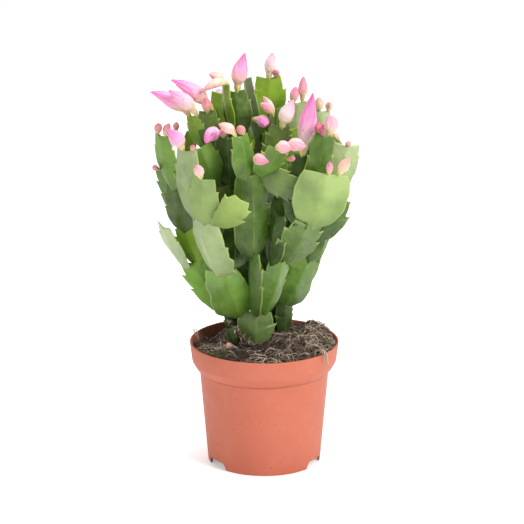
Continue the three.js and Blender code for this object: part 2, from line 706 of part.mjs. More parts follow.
// Where a bud leaves its blade, and which way it starts: out from the edge, and half toward its own tip
function budStart(blade, across, along, tip, radius) {
  const { axis, side, point } = blade.frame;
  const half = across < 0 ? blade.left : blade.right;
  const sign = Math.sign(across);
  const end = half.at(-1);
  const atTip = along >= 1;
  const endPlace = mix(end.rib, end.along, Math.abs(across) / end.across);
  const root = atTip ? point(across, endPlace) : point(sign * edgeShare(half, along), along);
  const out = atTip ? axis : side.clone().multiplyScalar(sign);
  const start = tip.clone().sub(root).normalize().add(out).normalize();
  const lean = Math.sqrt(1 - Math.min(1, start.dot(out)) ** 2);
  return { base: root.addScaledVector(out, BUD_GAP + radius * lean), start };
}

// How far out a blade's edge is at a place along it, as a share of the half width
function edgeShare(half, along) {
  let share = 0;
  for (let i = 1; i < half.length; i += 1) {
    const [low, high] = [half[i - 1], half[i]];
    const step = (along - low.along) / (high.along - low.along);
    if (step >= 0 && step <= 1) {
      share = Math.max(share, mix(low.across, high.across, step));
    }
  }
  return share;
}

// The pot: one turned wall with a shouldered band, a raised floor and a boss in its middle
function potSolid() {
  const inner = (radius) => radius - WALL;
  const profile = [
    [0, 0],
    [BOSS_RADIUS, 0],
    [BOSS_RADIUS + DRAFT, FLOOR_UNDERSIDE],
    [inner(FOOT_RADIUS) + DRAFT, FLOOR_UNDERSIDE],
    [inner(FOOT_RADIUS), 0],
    [FOOT_RADIUS, 0],
    [BODY_TOP_RADIUS, BODY_TOP],
    [SHOULDER_MIDDLE_RADIUS, SHOULDER_MIDDLE],
    [SHOULDER_TOP_RADIUS, SHOULDER_TOP],
    [RIM_RADIUS, POT_HEIGHT - LIP_CHAMFER],
    [RIM_RADIUS - LIP_CHAMFER, POT_HEIGHT],
    [inner(RIM_RADIUS), POT_HEIGHT],
    [inner(SHOULDER_TOP_RADIUS), SHOULDER_TOP + INNER_STEP_TOP_RISE],
    [inner(SHOULDER_MIDDLE_RADIUS), SHOULDER_MIDDLE + INNER_STEP_FOOT_RISE],
    [inner(BODY_TOP_RADIUS), BODY_TOP + DRAFT],
    [innerRadius(FLOOR_TOP), FLOOR_TOP],
    [0, FLOOR_TOP],
  ].map(([r, z]) => new THREE.Vector2(r, z));
  const lathe = new THREE.LatheGeometry(profile, POT_SEGMENTS).rotateX(Math.PI / 2);
  let pot = toSolid(lathe);
  const notch = new THREE.Shape([
    new THREE.Vector2(-NOTCH_HALF_WIDTH, -CUT_MARGIN),
    new THREE.Vector2(NOTCH_HALF_WIDTH, -CUT_MARGIN),
    new THREE.Vector2(NOTCH_TOP_HALF_WIDTH, NOTCH_HEIGHT),
    new THREE.Vector2(-NOTCH_TOP_HALF_WIDTH, NOTCH_HEIGHT),
  ]);
  for (const angle of NOTCH_ANGLES) {
    const cutter = new THREE.ExtrudeGeometry(notch, { depth: NOTCH_DEPTH, bevelEnabled: false })
      .rotateX(Math.PI / 2)
      .translate(0, -NOTCH_INNER_RADIUS, 0)
      .rotateZ(degrees(angle));
    pot = pot.subtract(toSolid(cutter));
  }
  for (let i = 0; i < DRAIN_COUNT; i += 1) {
    const angle = (i / DRAIN_COUNT) * Math.PI * 2;
    const drillHeight = FLOOR_TOP - FLOOR_UNDERSIDE + 2 * CUT_MARGIN;
    const [x, y] = [DRAIN_CIRCLE * Math.cos(angle), DRAIN_CIRCLE * Math.sin(angle)];
    const drill = new THREE.CylinderGeometry(DRAIN_RADIUS, DRAIN_RADIUS, drillHeight, DRAIN_SEGMENTS)
      .rotateX(Math.PI / 2)
      .translate(x, y, (FLOOR_UNDERSIDE + FLOOR_TOP) / 2);
    pot = pot.subtract(toSolid(drill));
  }
  return pot;
}

// Radius of the pot's inner face on its straight body
function innerRadius(z) {
  return mix(FOOT_RADIUS, BODY_TOP_RADIUS, z / BODY_TOP) - WALL;
}

// Radius of the pot's inner face in its band
function bandRadius(z) {
  return mix(SHOULDER_TOP_RADIUS, RIM_RADIUS, (z - SHOULDER_TOP) / (POT_HEIGHT - SHOULDER_TOP)) - WALL;
}

// Height of the soil at a place, level round the stems' feet and rough elsewhere
function soilHeight(x, y) {
  const waves = Math.sin(x * RIPPLE_ACROSS + 1) * Math.sin(y * RIPPLE_DEEP + x * RIPPLE_SKEW);
  let relief = RIPPLE_HEIGHT * waves;
  for (const [cx, cy, radius, height] of MOUNDS) {
    relief += height * Math.exp(-((x - cx) ** 2 + (y - cy) ** 2) / radius ** 2);
  }
  const nearest = Math.min(...STEMS.map(({ foot }) => Math.hypot(x - foot[0], y - foot[1])));
  const away = THREE.MathUtils.smoothstep(nearest, CALM_RADIUS, ROUGH_RADIUS);
  return SOIL_LEVEL + relief * away;
}

// The soil that fills the pot, with a plain hole for each stem's foot
function soilSolid() {
  const wallRadius = bandRadius(SOIL_LEVEL) - WALL_CLEARANCE;
  const points = [new THREE.Vector3(0, 0, soilHeight(0, 0))];
  for (const ring of SOIL_RINGS.slice(1)) {
    for (let i = 0; i < SOIL_SEGMENTS; i += 1) {
      const angle = (i / SOIL_SEGMENTS) * Math.PI * 2;
      const height = soilHeight(Math.cos(angle) * ring * wallRadius, Math.sin(angle) * ring * wallRadius);
      const radius = ring * (bandRadius(height) - WALL_CLEARANCE);
      points.push(new THREE.Vector3(Math.cos(angle) * radius, Math.sin(angle) * radius, height));
    }
  }
  const levels = [
    [bandRadius(SHOULDER_TOP) - WALL_CLEARANCE, SHOULDER_TOP + 2 * INNER_STEP_TOP_RISE],
    [innerRadius(BODY_TOP) - WALL_CLEARANCE, BODY_TOP + INNER_STEP_FOOT_RISE],
    [innerRadius(FLOOR_TOP) - WALL_CLEARANCE, FLOOR_TOP + FOOT_CLEARANCE],
  ];
  for (const [radius, z] of levels) {
    for (let i = 0; i < SOIL_SEGMENTS; i += 1) {
      const angle = (i / SOIL_SEGMENTS) * Math.PI * 2;
      points.push(new THREE.Vector3(Math.cos(angle) * radius, Math.sin(angle) * radius, z));
    }
  }
  const rings = SOIL_RINGS.length - 1 + levels.length;
  const triangles = [];
  for (let i = 0; i < SOIL_SEGMENTS; i += 1) {
    triangles.push([0, 1 + i, 1 + ((i + 1) % SOIL_SEGMENTS)]);
  }
  for (let r = 0; r < rings - 1; r += 1) {
    for (let i = 0; i < SOIL_SEGMENTS; i += 1) {
      const a = 1 + r * SOIL_SEGMENTS + i;
      const b = 1 + r * SOIL_SEGMENTS + ((i + 1) % SOIL_SEGMENTS);
      triangles.push([a, a + SOIL_SEGMENTS, b + SOIL_SEGMENTS], [a, b + SOIL_SEGMENTS, b]);
    }
  }
  const bottom = points.length;
  points.push(new THREE.Vector3(0, 0, FLOOR_TOP + FOOT_CLEARANCE));
  for (let i = 0; i < SOIL_SEGMENTS; i += 1) {
    const a = bottom - SOIL_SEGMENTS + i;
    const b = bottom - SOIL_SEGMENTS + ((i + 1) % SOIL_SEGMENTS);
    triangles.push([a, bottom, b]);
  }
  let soil = toSolid(polyhedron(points, triangles));
  for (const stem of STEMS) {
    soil = soil.subtract(toSolid(footGeometry(stem, FOOT_CLEARANCE)));
  }
  return soil;
}

const MATERIALS = {
  pot: new THREE.MeshStandardMaterial({ color: 0xd9775f, roughness: 0.5, metalness: 0 }),
  soil: new THREE.MeshStandardMaterial({ color: 0x4a382c, roughness: 1, metalness: 0 }),
  blade: new THREE.MeshStandardMaterial({ color: 0x5f9440, roughness: 0.45, metalness: 0 }),
  bud: new THREE.MeshStandardMaterial({ color: 0xf08fc4, roughness: 0.45, metalness: 0 }),
};

const group = new THREE.Group();

// Adds a named piece to the object
function addPiece(name, geometry, material) {
  const mesh = new THREE.Mesh(geometry, material);
  mesh.name = name;
  group.add(mesh);
}

const blades = growBlades();
addPiece("pot", toGeometry(potSolid()), MATERIALS.pot);
addPiece("soil", toGeometry(soilSolid()), MATERIALS.soil);
for (const stem of STEMS) {
  addPiece(stem.name, toGeometry(stemSolid(stem, blades)), MATERIALS.blade);
}
for (const [name, bladeName, across, along, tipPlace, width, kind] of BUDS) {
  const tip = new THREE.Vector3(...tipPlace);
  const jointRadius = BUD_PROFILES[kind][0][1] * width * 0.5;
  const { base, start } = budStart(blades.get(bladeName), across, along, tip, jointRadius);
  addPiece(name, toGeometry(toSolid(budGeometry(base, start, tip, width, kind))), MATERIALS.bud);
}
const fallenBase = new THREE.Vector3(...FALLEN_BUD.base);
const fallenTip = new THREE.Vector3(...FALLEN_BUD.tip);
const fallenStart = fallenTip.clone().sub(fallenBase).normalize();
const fallenGeometry = budGeometry(fallenBase, fallenStart, fallenTip, FALLEN_BUD.width, FALLEN_BUD.kind);
addPiece("bud_fallen", toGeometry(toSolid(fallenGeometry)), MATERIALS.bud);

export default group;
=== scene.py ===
"""A christmas cactus in bud, in a plastic nursery pot filled with peat: the looks.

The stems, segments and buds follow the same rows as the part's solids, in finer meshes.
Lengths in the tables are millimetres. +Z is up, the front is -Y and the right is +X.
"""

import math
from types import SimpleNamespace

import bpy
import numpy as np
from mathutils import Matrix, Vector, noise


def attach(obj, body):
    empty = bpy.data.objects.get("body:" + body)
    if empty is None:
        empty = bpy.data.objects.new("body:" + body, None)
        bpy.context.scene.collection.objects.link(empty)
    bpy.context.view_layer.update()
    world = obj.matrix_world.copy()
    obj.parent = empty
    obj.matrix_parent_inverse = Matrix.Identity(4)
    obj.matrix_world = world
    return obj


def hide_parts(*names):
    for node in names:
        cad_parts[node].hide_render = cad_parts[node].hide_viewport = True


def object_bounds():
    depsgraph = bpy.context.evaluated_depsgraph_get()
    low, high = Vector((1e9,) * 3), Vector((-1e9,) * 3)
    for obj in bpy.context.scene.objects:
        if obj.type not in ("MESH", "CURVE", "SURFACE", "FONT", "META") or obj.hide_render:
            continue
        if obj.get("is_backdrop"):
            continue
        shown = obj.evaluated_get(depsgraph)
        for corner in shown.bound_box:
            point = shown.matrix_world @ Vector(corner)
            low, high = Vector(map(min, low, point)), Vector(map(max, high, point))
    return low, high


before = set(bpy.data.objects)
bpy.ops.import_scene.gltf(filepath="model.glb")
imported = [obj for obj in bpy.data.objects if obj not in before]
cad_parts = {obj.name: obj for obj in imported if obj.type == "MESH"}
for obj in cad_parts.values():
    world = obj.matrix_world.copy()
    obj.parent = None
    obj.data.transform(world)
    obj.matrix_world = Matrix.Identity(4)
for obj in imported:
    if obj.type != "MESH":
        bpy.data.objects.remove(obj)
cad_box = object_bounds()

MM = 0.001

# Camera, fitted to the pot's rim, shoulder and foot in the photograph
CAMERA_AIM = (-1.56, 0, 144.53)
CAMERA_DISTANCE = 1900
CAMERA_ELEVATION = 16.43
CAMERA_LENS = 186.87
SENSOR_WIDTH = 36
SIGHT_METRES = 20

# Light, in metres: each lamp is [name, place, aim, size, power]
WORLD_STRENGTH = 0.34
LIGHTS = (
    ("key", (1.1, -1.0, 1.3), (0, 0, 0.15), 0.7, 26),
    ("fill", (-1.4, -1.0, 0.8), (0, 0, 0.15), 1.0, 6),
    ("top", (0, 0.3, 1.9), (0, 0, 0), 1.2, 28),
)
FLOOR_REACH = 4
FLOOR_DROP = 0.0001
FLOOR_GLOW = 0.35

# Pot
POT_HEIGHT = 87.2
RIM_RADIUS = 52.5
SHOULDER_TOP_RADIUS = 50.9
SHOULDER_TOP = 73.8
SHOULDER_MIDDLE_RADIUS = 48.2
SHOULDER_MIDDLE = 69
BODY_TOP_RADIUS = 45.6
BODY_TOP = 66.8
FOOT_RADIUS = 39.8
WALL = 1.4
FLOOR_UNDERSIDE = 6
FLOOR_TOP = 7.4
BOSS_RADIUS = 6
FOOT_DRAFT = 0.4
INNER_TOP_RISE = 0.5
INNER_MIDDLE_RISE = 0.8
INNER_BODY_RISE = 0.4
POT_SEGMENTS = 160
POT_ROUNDING = 0.5
ARC_STEPS = 4
ARC_LARGEST_SHARE = 0.45
POT_SHARP_ANGLE = 50
# Width of a painted shade line where the shoulder meets the body
GROOVE_SHADE = 0.9 * MM

# Notches under the foot and drain holes in the floor
NOTCH_ANGLES = (-57, 63, 183)
NOTCH_HEIGHT = 5
NOTCH_HALF_WIDTH = 10.5
NOTCH_TOP_HALF_WIDTH = 8.2
NOTCH_FLARE = 0.3
NOTCH_CORNER = 0.8
NOTCH_CORNER_DROP = 1
NOTCH_MARGIN = 1
NOTCH_INWARD = 10
NOTCH_OUTWARD = 4
DRAIN_RADIUS = 3
DRAIN_CIRCLE = 27
DRAIN_COUNT = 6
DRAIN_SIDES = 24
DRAIN_MARGIN = 2

# Soil: its ripples, and its mounds and hollows as [x, y, radius, height]
SOIL_LEVEL = 85
SOIL_SEGMENTS = 150
SOIL_RINGS = 46
SOIL_GAP = 0.25
SOIL_WALL_GAP = 0.5
SOIL_SHOULDER_LIFT = 1
SOIL_BODY_LIFT = 0.8
SOIL_FLOOR_LIFT = 0.3
RING_CROWDING = 0.9
CALM_RADIUS = 9
ROUGH_RADIUS = 18
RIPPLE_HEIGHT = 1.1
RIPPLE_ACROSS = 0.31
RIPPLE_DEEP = 0.27
RIPPLE_SKEW = 0.08
MOUNDS = (
    (32, -6, 17, 5),
    (36, 20, 17, 6),
    (-8, -32, 16, -1),
    (-34, 28, 22, -6),
    (-46, -6, 16, -3),
    (47, 8, 10, -5),
    (20, -44, 12, -2),
)

# Relief of the peat: scales and heights of its noise, calmer near the wall
LUMP_SCALE = 0.16
LUMP_HEIGHT = 1.5
GRAIN_SCALE = 0.55
GRAIN_HEIGHT = 1.1
ROUGHNESS = 0.9
LACUNARITY = 2.1
WALL_FADE = 4
WALL_CALM = 0.35

# Dryness of the peat, in patches, and a paler tone that grows to the right, which is partly drier peat and
# partly painted light, with painted shade at the left
DRY_LEAST = 0.12
DRY_AND_LIGHT_SLOPE = 0.013
DRY_AND_LIGHT_MIDDLE = 4
DRY_PATCH = 0.3
DRY_SCALE = 0.09

# Segments. A random range is [least, spread], or [least, spread, power].
EDGE_THICKNESS = 1
RIB_THICKNESS_BASE = 3
RIB_THICKNESS_TIP = 1.8
STUB_THICKNESS = 5.6
RIB_RIDGE = 0.16
RIB_RIDGE_WIDTH = 1.5
FOLD_ROUNDING = 1.2
ROOT_SINK = 1.5
TIP_SPREAD = 0.6
TIP_ANCHOR = 0.95
JITTER = 0.03
EDGE_STEP = 1.15
EDGE_BULGE = 0.06
BULGE_TO_ONE = 6.75
EDGE_WAVE = 0.45
EDGE_WAVES = (0.8, 0.9)
LONG_RISE = 0.12
TOOTH_NARROWING = 0.1
TOOTH_LEAST_RISE = 0.05
TOOTH_SPUR = np.array([0.9, 1.1])
TOOTH_MARK = (0.4, 1, 0.4)
COLUMNS = (0, 0.07, 0.2, 0.38, 0.58, 0.78, 0.92, 1)
THINNING = 1.6
RIM_ANGLES = (35, 68)
TIP_ROUNDS = (40, 75)
BLADE_SHADES = (0.94, 0.12)
BASE_SHADE = 0.7
SHADE_RISE = 2.2
TIP_BLOOM = np.array([1.2, 1.12, 1.3])

# Stem feet, with their levels as [height, share of the width]
FOOT_BOTTOM = 68
FOOT_THICKNESS_RADIUS = 3.2
FOOT_SIDES = 18
FOOT_DROP = 0.5
FOOT_SHADE = 0.8
FOOT_LEVELS = (
    (FOOT_BOTTOM, 0.7),
    (FOOT_BOTTOM + 4, 1),
    (SOIL_LEVEL - 2, 1),
    (SOIL_LEVEL - FOOT_DROP, 0.92),
)
FOOT_PLACE = (0.5, 0, 0)
STUB_DROP = 0.8

# Buds
BUD_GAP = 0.55
BUD_BEND = 0.45
BUD_ROOT = 1.1
BUD_SIDES = 20
BUD_RINGS = 22
BUD_RIDGES = 5
BUD_RIDGE = 0.02
BUD_LEVEL = np.array([0.31, -0.17, 0.93])
BUD_TONE_STOPS = (0, 0.3, 0.62, 1)
PETAL_ROWS = 9
PETAL_COLUMNS = 4
PETAL_CROWN = 0.16
PETAL_EDGE = 0.05
PETAL_STAND = 0.004
PETAL_BASE = 0.14
PETAL_PALE_EDGE = 0.25
PETAL_PALE_BASE = 0.08
PETAL_TURN_JITTER = 8
PETAL_END_JITTER = 0.05
FALLEN_BUD = {"base": (-27.2, -9.4, 86.3), "tip": (-22.6, -11.2, 86.3), "width": 4.2}

# Crumbs of peat
CRUMB_COUNT = 1000
CRUMB_RINGS = 4
CRUMB_SIDES = 6
CRUMB_SIZES = (0.45, 1.3, 3)
CRUMB_TONES = (0.45, 1.5, 2)
CRUMB_SHADES = (0.8, 0.4)
CRUMB_FLATNESS = (0.55, 0.35)
CRUMB_LIFT = 0.2
CRUMB_ROUGHNESS = 0.7
CRUMB_GRAIN = 1.3
NOISE_REACH = 50

# Rootlets, straw and moss. A patch is [x, y, spread, count].
ROOTLET_COUNT = 520
ROOTLET_LENGTHS = (4, 9)
ROOTLET_RADII = (0.13, 0.2)
ROOTLET_BEND = 0.5
ROOTLET_LIFT = 0.9
STRAW_LENGTHS = (6, 10)
STRAW_RADII = (0.2, 0.28, 1.5)
STRAW_LIFTS = (0.6, 2.2)
STRAW_BEND = 0.35
STRAW_SHADE = 0.6
PATCH_REACH = 1.3
MOSS_LENGTHS = (1, 1.3)
MOSS_RADII = (0.22, 0.16)
MOSS_RISES = (0.7, 0.5)
MOSS_SINK = 0.2
MOSS_BEND = 0.4
STRAW_PATCHES = (
    (30, -14, 14, 130),
    (36, 14, 13, 90),
    (8, -36, 12, 36),
    (42, -28, 5, 36),
    (-34, -8, 13, 60),
)
MOSS_PATCHES = ((34, 26, 9, 220), (-32, -26, 6, 160), (44, -10, 4, 70), (-42, 4, 5, 90))
LITTER_MARGIN = 1.5
LINE_MARGIN = 1
LINE_LIFT = 0.3
LINE_JITTER = 0.7
STRAND_LEVEL = (0.21, 0.13, 0.97)
STRAND_TIP = 0.35
STRAND_END = 0.02

# A tuft of straw over the rim, a wisp of dead grass, a twig with short hairs, and a withered segment
TUFT = {
    "root": (35, -27, 88.6), "over": (41.5, -33.2, 89), "end": (43.5, -34.8, 79),
    "spread": (3.2, 2.2), "radius": 0.22, "count": 12,
}
WISP = {"root": (-46.5, 6, 85.5), "end": (-49.8, 4, 99), "radius": 0.3, "count": 6}
TWIG = ((-24.5, -5, 100.5), (-20, -6, 97), (-16, -8, 92), (-12, -9, 88.4), (-8, -11, 86))
TWIG_THICKNESS = 1.5
HAIR_COUNT = 60
HAIR_LIFT = 0.4
HAIR_LEANS = (0.4, 0.7, 0.35)
HAIR_LENGTHS = (2, 3)
HAIR_DROP = 1.5
HAIR_RADII = (0.16, 0.2)
WITHERED = {"base": (-19, -4, 86), "tip": (-24, -6, 97), "width": 11, "face": -20, "slope": 0.4, "bow": 1.5}

# Seeds of the random sources
BLADE_SEED = 11
WAVE_SEED = 1000
WITHERED_SEED = 77
BUD_SEED = 300
LITTER_SEED = 901
MOSS_SEED = 902

# Colours of the loose pieces, from 0 to 255 as on a display, as all colours here
PEAT_DARK = (66, 44, 38)
# The pale end of the peat's tone: dry peat, and painted light at the right
PEAT_DRY_AND_LIT = (128, 108, 92)
ROOT_DARK = (78, 56, 46)
STRAW = (190, 166, 142)
STRAW_DARK = (112, 80, 60)
STRAW_PALE = (230, 210, 188)
MOSS_DARK = (70, 76, 42)
MOSS_PALE = (122, 128, 76)

# Colours that the materials mix in
MARKS = {
    "blade bloom": (150, 180, 88),
    "blade shadow": (50, 80, 24),
    "blade vein": (160, 188, 96),
    "blade rib": (164, 190, 104),
    "blade edge": (178, 204, 104),
    "blade tooth": (200, 194, 100),
    "blade speck": (196, 206, 160),
    "bud cream": (255, 244, 236),
    "bud streak": (255, 236, 238),
    "bud blush": (236, 92, 168),
    "pot clay": (198, 104, 76),
    "pot clay pale": (206, 113, 87),
    "pot dust": (224, 146, 124),
    # The inside wall: soil stains and painted shade, the inside of the pot being in shadow
    "pot inside dirt and shade": (134, 88, 72),
    # A painted shade line under the shoulder's step
    "pot step painted shade": (138, 62, 46),
    "pot dirt": (110, 56, 40),
    "peat grain": (30, 20, 16),
    "peat fleck": (190, 172, 146),
    "litter grain": (66, 48, 34),
    "moss grain": (60, 66, 24),
    "paper": (247, 247, 247),
    "paper pale": (250, 250, 250),
}

# Sockets of the Mix node that hold colours
MIX_COLOURS = (6, 7)
MIX_RESULT = 2

# Tones of the segments. A few hold painted light or shade, as marked at each.
TONES = {
    "leaf": (92, 130, 44),
    "fresh": (108, 148, 54),
    "spring": (98, 148, 2),
    "bright": (148, 174, 86),
    # A yellow-green brightened with a painted backlit glow, for segments at the top and back
    "lime_backlit_glow": (130, 170, 36),
    # A dark green darkened further as painted shade, for segments inside the plant
    "deep": (48, 78, 18),
    "shade": (66, 94, 26),
    "ripe": (58, 86, 14),
    "mid": (78, 110, 32),
    # These three are pale greens made paler and greyer by a painted sheen, a reflection of the bright
    # surroundings
    "pale": (152, 178, 102),
    "grey_sheen": (158, 178, 122),
    "chalk_sheen": (172, 192, 132),
    "blue": (112, 142, 78),
    "dark": (66, 102, 8),
    "olive": (98, 120, 54),
    "old": (104, 128, 70),
    "old_dark": (48, 66, 30),
}

# The tone of each segment that isn't of the plain leaf tone
TONE_OF = {
    "spring": "left1",
    "fresh": "front1 front14 left5 backleft7 back12 back13 backright5",
    "bright": "front6",
    # These segments at the top and back get the painted backlit glow
    "lime_backlit_glow": "back4 back8 back11 backleft4 backleft11 middle6 middle9 left3 left6",
    # Segments whose tone holds a painted sheen
    "pale": "front5 front18 backright4",
    "grey_sheen": "front7 left2 back5",
    "chalk_sheen": "front4 right4 backright11 backright12",
    "blue": "front17",
    "dark": "front19 back7 right5 left10",
    "olive": "middle11 middle12 middle13 front9 back3",
    "shade": "left4 left8 middle5 middle7 middle8 right7",
    "ripe": "front12 right3",
    "mid": "front2",
    # Segments inside the plant, darkened as painted shade
    "deep": "front8 front11 front15 front20 left7 right2 middle1 middle2 middle3 middle4 middle10 "
            "back1 back2 back9 backleft1 backleft8 backleft9 backleft10 backright1 backright8 "
            "backright9 backright10",
    "old": "front0 front16",
    "old_dark": "right0 left0 middle0 back0 backleft0 backright0",
}

# Tones of the buds, from the joint to the point
BUD_TONES = {
    "pink": ((204, 200, 80), (252, 202, 180), (255, 158, 212), (242, 84, 178)),
    "vivid": ((244, 232, 112), (255, 216, 214), (255, 150, 214), (240, 90, 184)),
    "rose": ((208, 202, 92), (252, 224, 190), (254, 192, 222), (246, 126, 190)),
    "soft": ((214, 206, 110), (252, 216, 180), (248, 178, 186), (240, 150, 178)),
    "pale": ((210, 200, 96), (252, 228, 196), (255, 224, 226), (246, 176, 210)),
    "cream": ((200, 198, 92), (244, 220, 160), (244, 204, 168), (230, 156, 160)),
    "peach": ((190, 186, 84), (240, 212, 166), (246, 198, 182), (230, 146, 156)),
    "blush": ((188, 190, 84), (226, 186, 134), (234, 150, 164), (224, 108, 156)),
    "dusky": ((180, 170, 84), (222, 174, 134), (222, 140, 136), (202, 98, 116)),
    "magenta": ((172, 60, 80), (204, 10, 98), (186, 0, 94), (148, 0, 82)),
}

# The numbers of the buds that aren't pink
BUD_TONE_OF = {
    "vivid": (30,),
    "rose": (6, 45),
    "soft": (31, 36, 37),
    "pale": (2, 27),
    "cream": (34, 35, 39),
    "peach": (8, 9, 16, 20, 26, 42),
    "blush": (19, 23, 25, 28, 29, 38),
    "dusky": (3, 7, 11, 12, 13, 14, 15, 17, 21, 22, 40, 43, 46),
    "magenta": (32, 33),
}

# Each smooth bud, as [place along it, share of the radius]
BUD_SHAPES = {
    "large": ((0, 0.24), (0.06, 0.42), (0.13, 0.48), (0.2, 0.43), (0.26, 0.68), (0.36, 0.92),
              (0.48, 1), (0.6, 0.92), (0.76, 0.62), (0.9, 0.27), (1, 0.03)),
    "medium": ((0, 0.3), (0.1, 0.52), (0.2, 0.58), (0.28, 0.62), (0.4, 0.9), (0.54, 1),
               (0.7, 0.86), (0.84, 0.56), (0.94, 0.26), (1, 0.04)),
    "small": ((0, 0.36), (0.14, 0.66), (0.3, 0.86), (0.48, 1), (0.66, 0.94), (0.82, 0.66),
              (0.94, 0.32), (1, 0.05)),
}

# Whorls of petals: [petals, start, end, half angle in degrees, stand off, turn in degrees]
BUD_WHORLS = {
    "large": (
        (5, 0.2, 0.46, 30, 0.34, 0),
        (5, 0.24, 0.68, 34, 0.28, 36),
        (5, 0.32, 0.88, 36, 0.2, 8),
        (4, 0.44, 1, 40, 0.1, 50),
    ),
    "medium": ((5, 0.2, 0.55, 32, 0.3, 0), (5, 0.3, 0.82, 36, 0.2, 36), (4, 0.42, 1, 42, 0.1, 12)),
    "small": ((4, 0.1, 0.7, 38, 0.16, 0), (4, 0.3, 1, 42, 0.08, 45)),
}

# An outline is one half of a segment, from its joint to its tip: the shares of the half width, then the
# places along the edge. Each group starts with the places along the rib, which its outlines share.
OUTLINE_GROUPS = (
    ((0, 0.08, 0.24, 0.42, 0.56, 0.7, 0.83, 0.97), {
        "toothed": ((0.14, 0.62, 0.92, 1.07, 0.86, 0.99, 0.77, 0.7),
                    (0, 0.1, 0.28, 0.57, 0.56, 0.83, 0.82, 1.03)),
        "full": ((0.34, 1.02, 1.08, 1, 0.94, 0.95, 0.86, 0.7),
                 (0, 0.08, 0.3, 0.46, 0.57, 0.76, 0.84, 1.02)),
        "slim": ((0.14, 0.62, 0.74, 0.74, 0.7, 0.66, 0.56, 0.44),
                 (0, 0.08, 0.26, 0.44, 0.58, 0.74, 0.87, 1.02)),
        "fan": ((0.14, 0.24, 0.42, 0.58, 0.68, 0.84, 0.6, 0.45),
                (0, 0.1, 0.3, 0.5, 0.66, 0.87, 0.86, 1.01)),
        "hooked": ((0.14, 0.6, 0.95, 1.14, 0.89, 0.92, 0.7, 0.55),
                   (0, 0.1, 0.3, 0.55, 0.57, 0.86, 0.87, 1.01)),
    }),
    ((0, 0.07, 0.19, 0.3, 0.4, 0.51, 0.62, 0.74, 0.86, 0.97), {
        "plain": ((0.3, 0.56, 0.78, 0.88, 0.92, 0.92, 0.9, 0.86, 0.78, 0.62),
                  (0, 0.06, 0.17, 0.3, 0.4, 0.52, 0.63, 0.76, 0.88, 1.03)),
        "sawn": ((0.14, 0.58, 0.9, 1.1, 0.82, 1.06, 0.76, 0.94, 0.6, 0.42),
                 (0, 0.06, 0.18, 0.32, 0.37, 0.57, 0.61, 0.81, 0.84, 1)),
        "barbed": ((0.4, 1.02, 0.82, 1.06, 0.87, 0.98, 0.84, 0.86, 0.78, 0.6),
                   (0, 0.06, 0.12, 0.32, 0.37, 0.54, 0.58, 0.74, 0.86, 1)),
    }),
    ((0, 0.09, 0.3, 0.6, 0.8, 0.97), {
        "lobed": ((0.14, 0.66, 1, 1.01, 0.84, 0.76), (0, 0.1, 0.36, 0.77, 0.77, 1.02)),
    }),
    ((0, 0.12, 0.4, 0.68, 0.8, 0.97), {
        "wedge": ((0.14, 0.42, 0.74, 1.02, 0.86, 0.9), (0, 0.14, 0.44, 0.8, 0.8, 1.02)),
    }),
    ((0, 0.1, 0.32, 0.54, 0.78, 0.97), {
        "round": ((0.14, 0.6, 0.96, 1.05, 1, 0.86), (0, 0.12, 0.36, 0.62, 0.84, 0.975)),
    }),
    ((0, 0.3, 0.5, 0.63, 0.98), {
        "stub": ((0.48, 0.84, 1.02, 0.88, 0.8), (0, 0.34, 0.64, 0.65, 1.02)),
        "trunk": ((0.48, 0.76, 0.88, 0.9, 0.84), (0, 0.3, 0.54, 0.7, 1.02)),
    }),
    ((0, 0.14, 0.42, 0.58, 0.97), {
        "hidden": ((0.14, 0.7, 1.02, 0.84, 0.76), (0, 0.16, 0.55, 0.56, 1.02)),
    }),
)
OUTLINES = {
    name: list(zip(across, along, rib))
    for rib, group in OUTLINE_GROUPS
    for name, (across, along) in group.items()
}

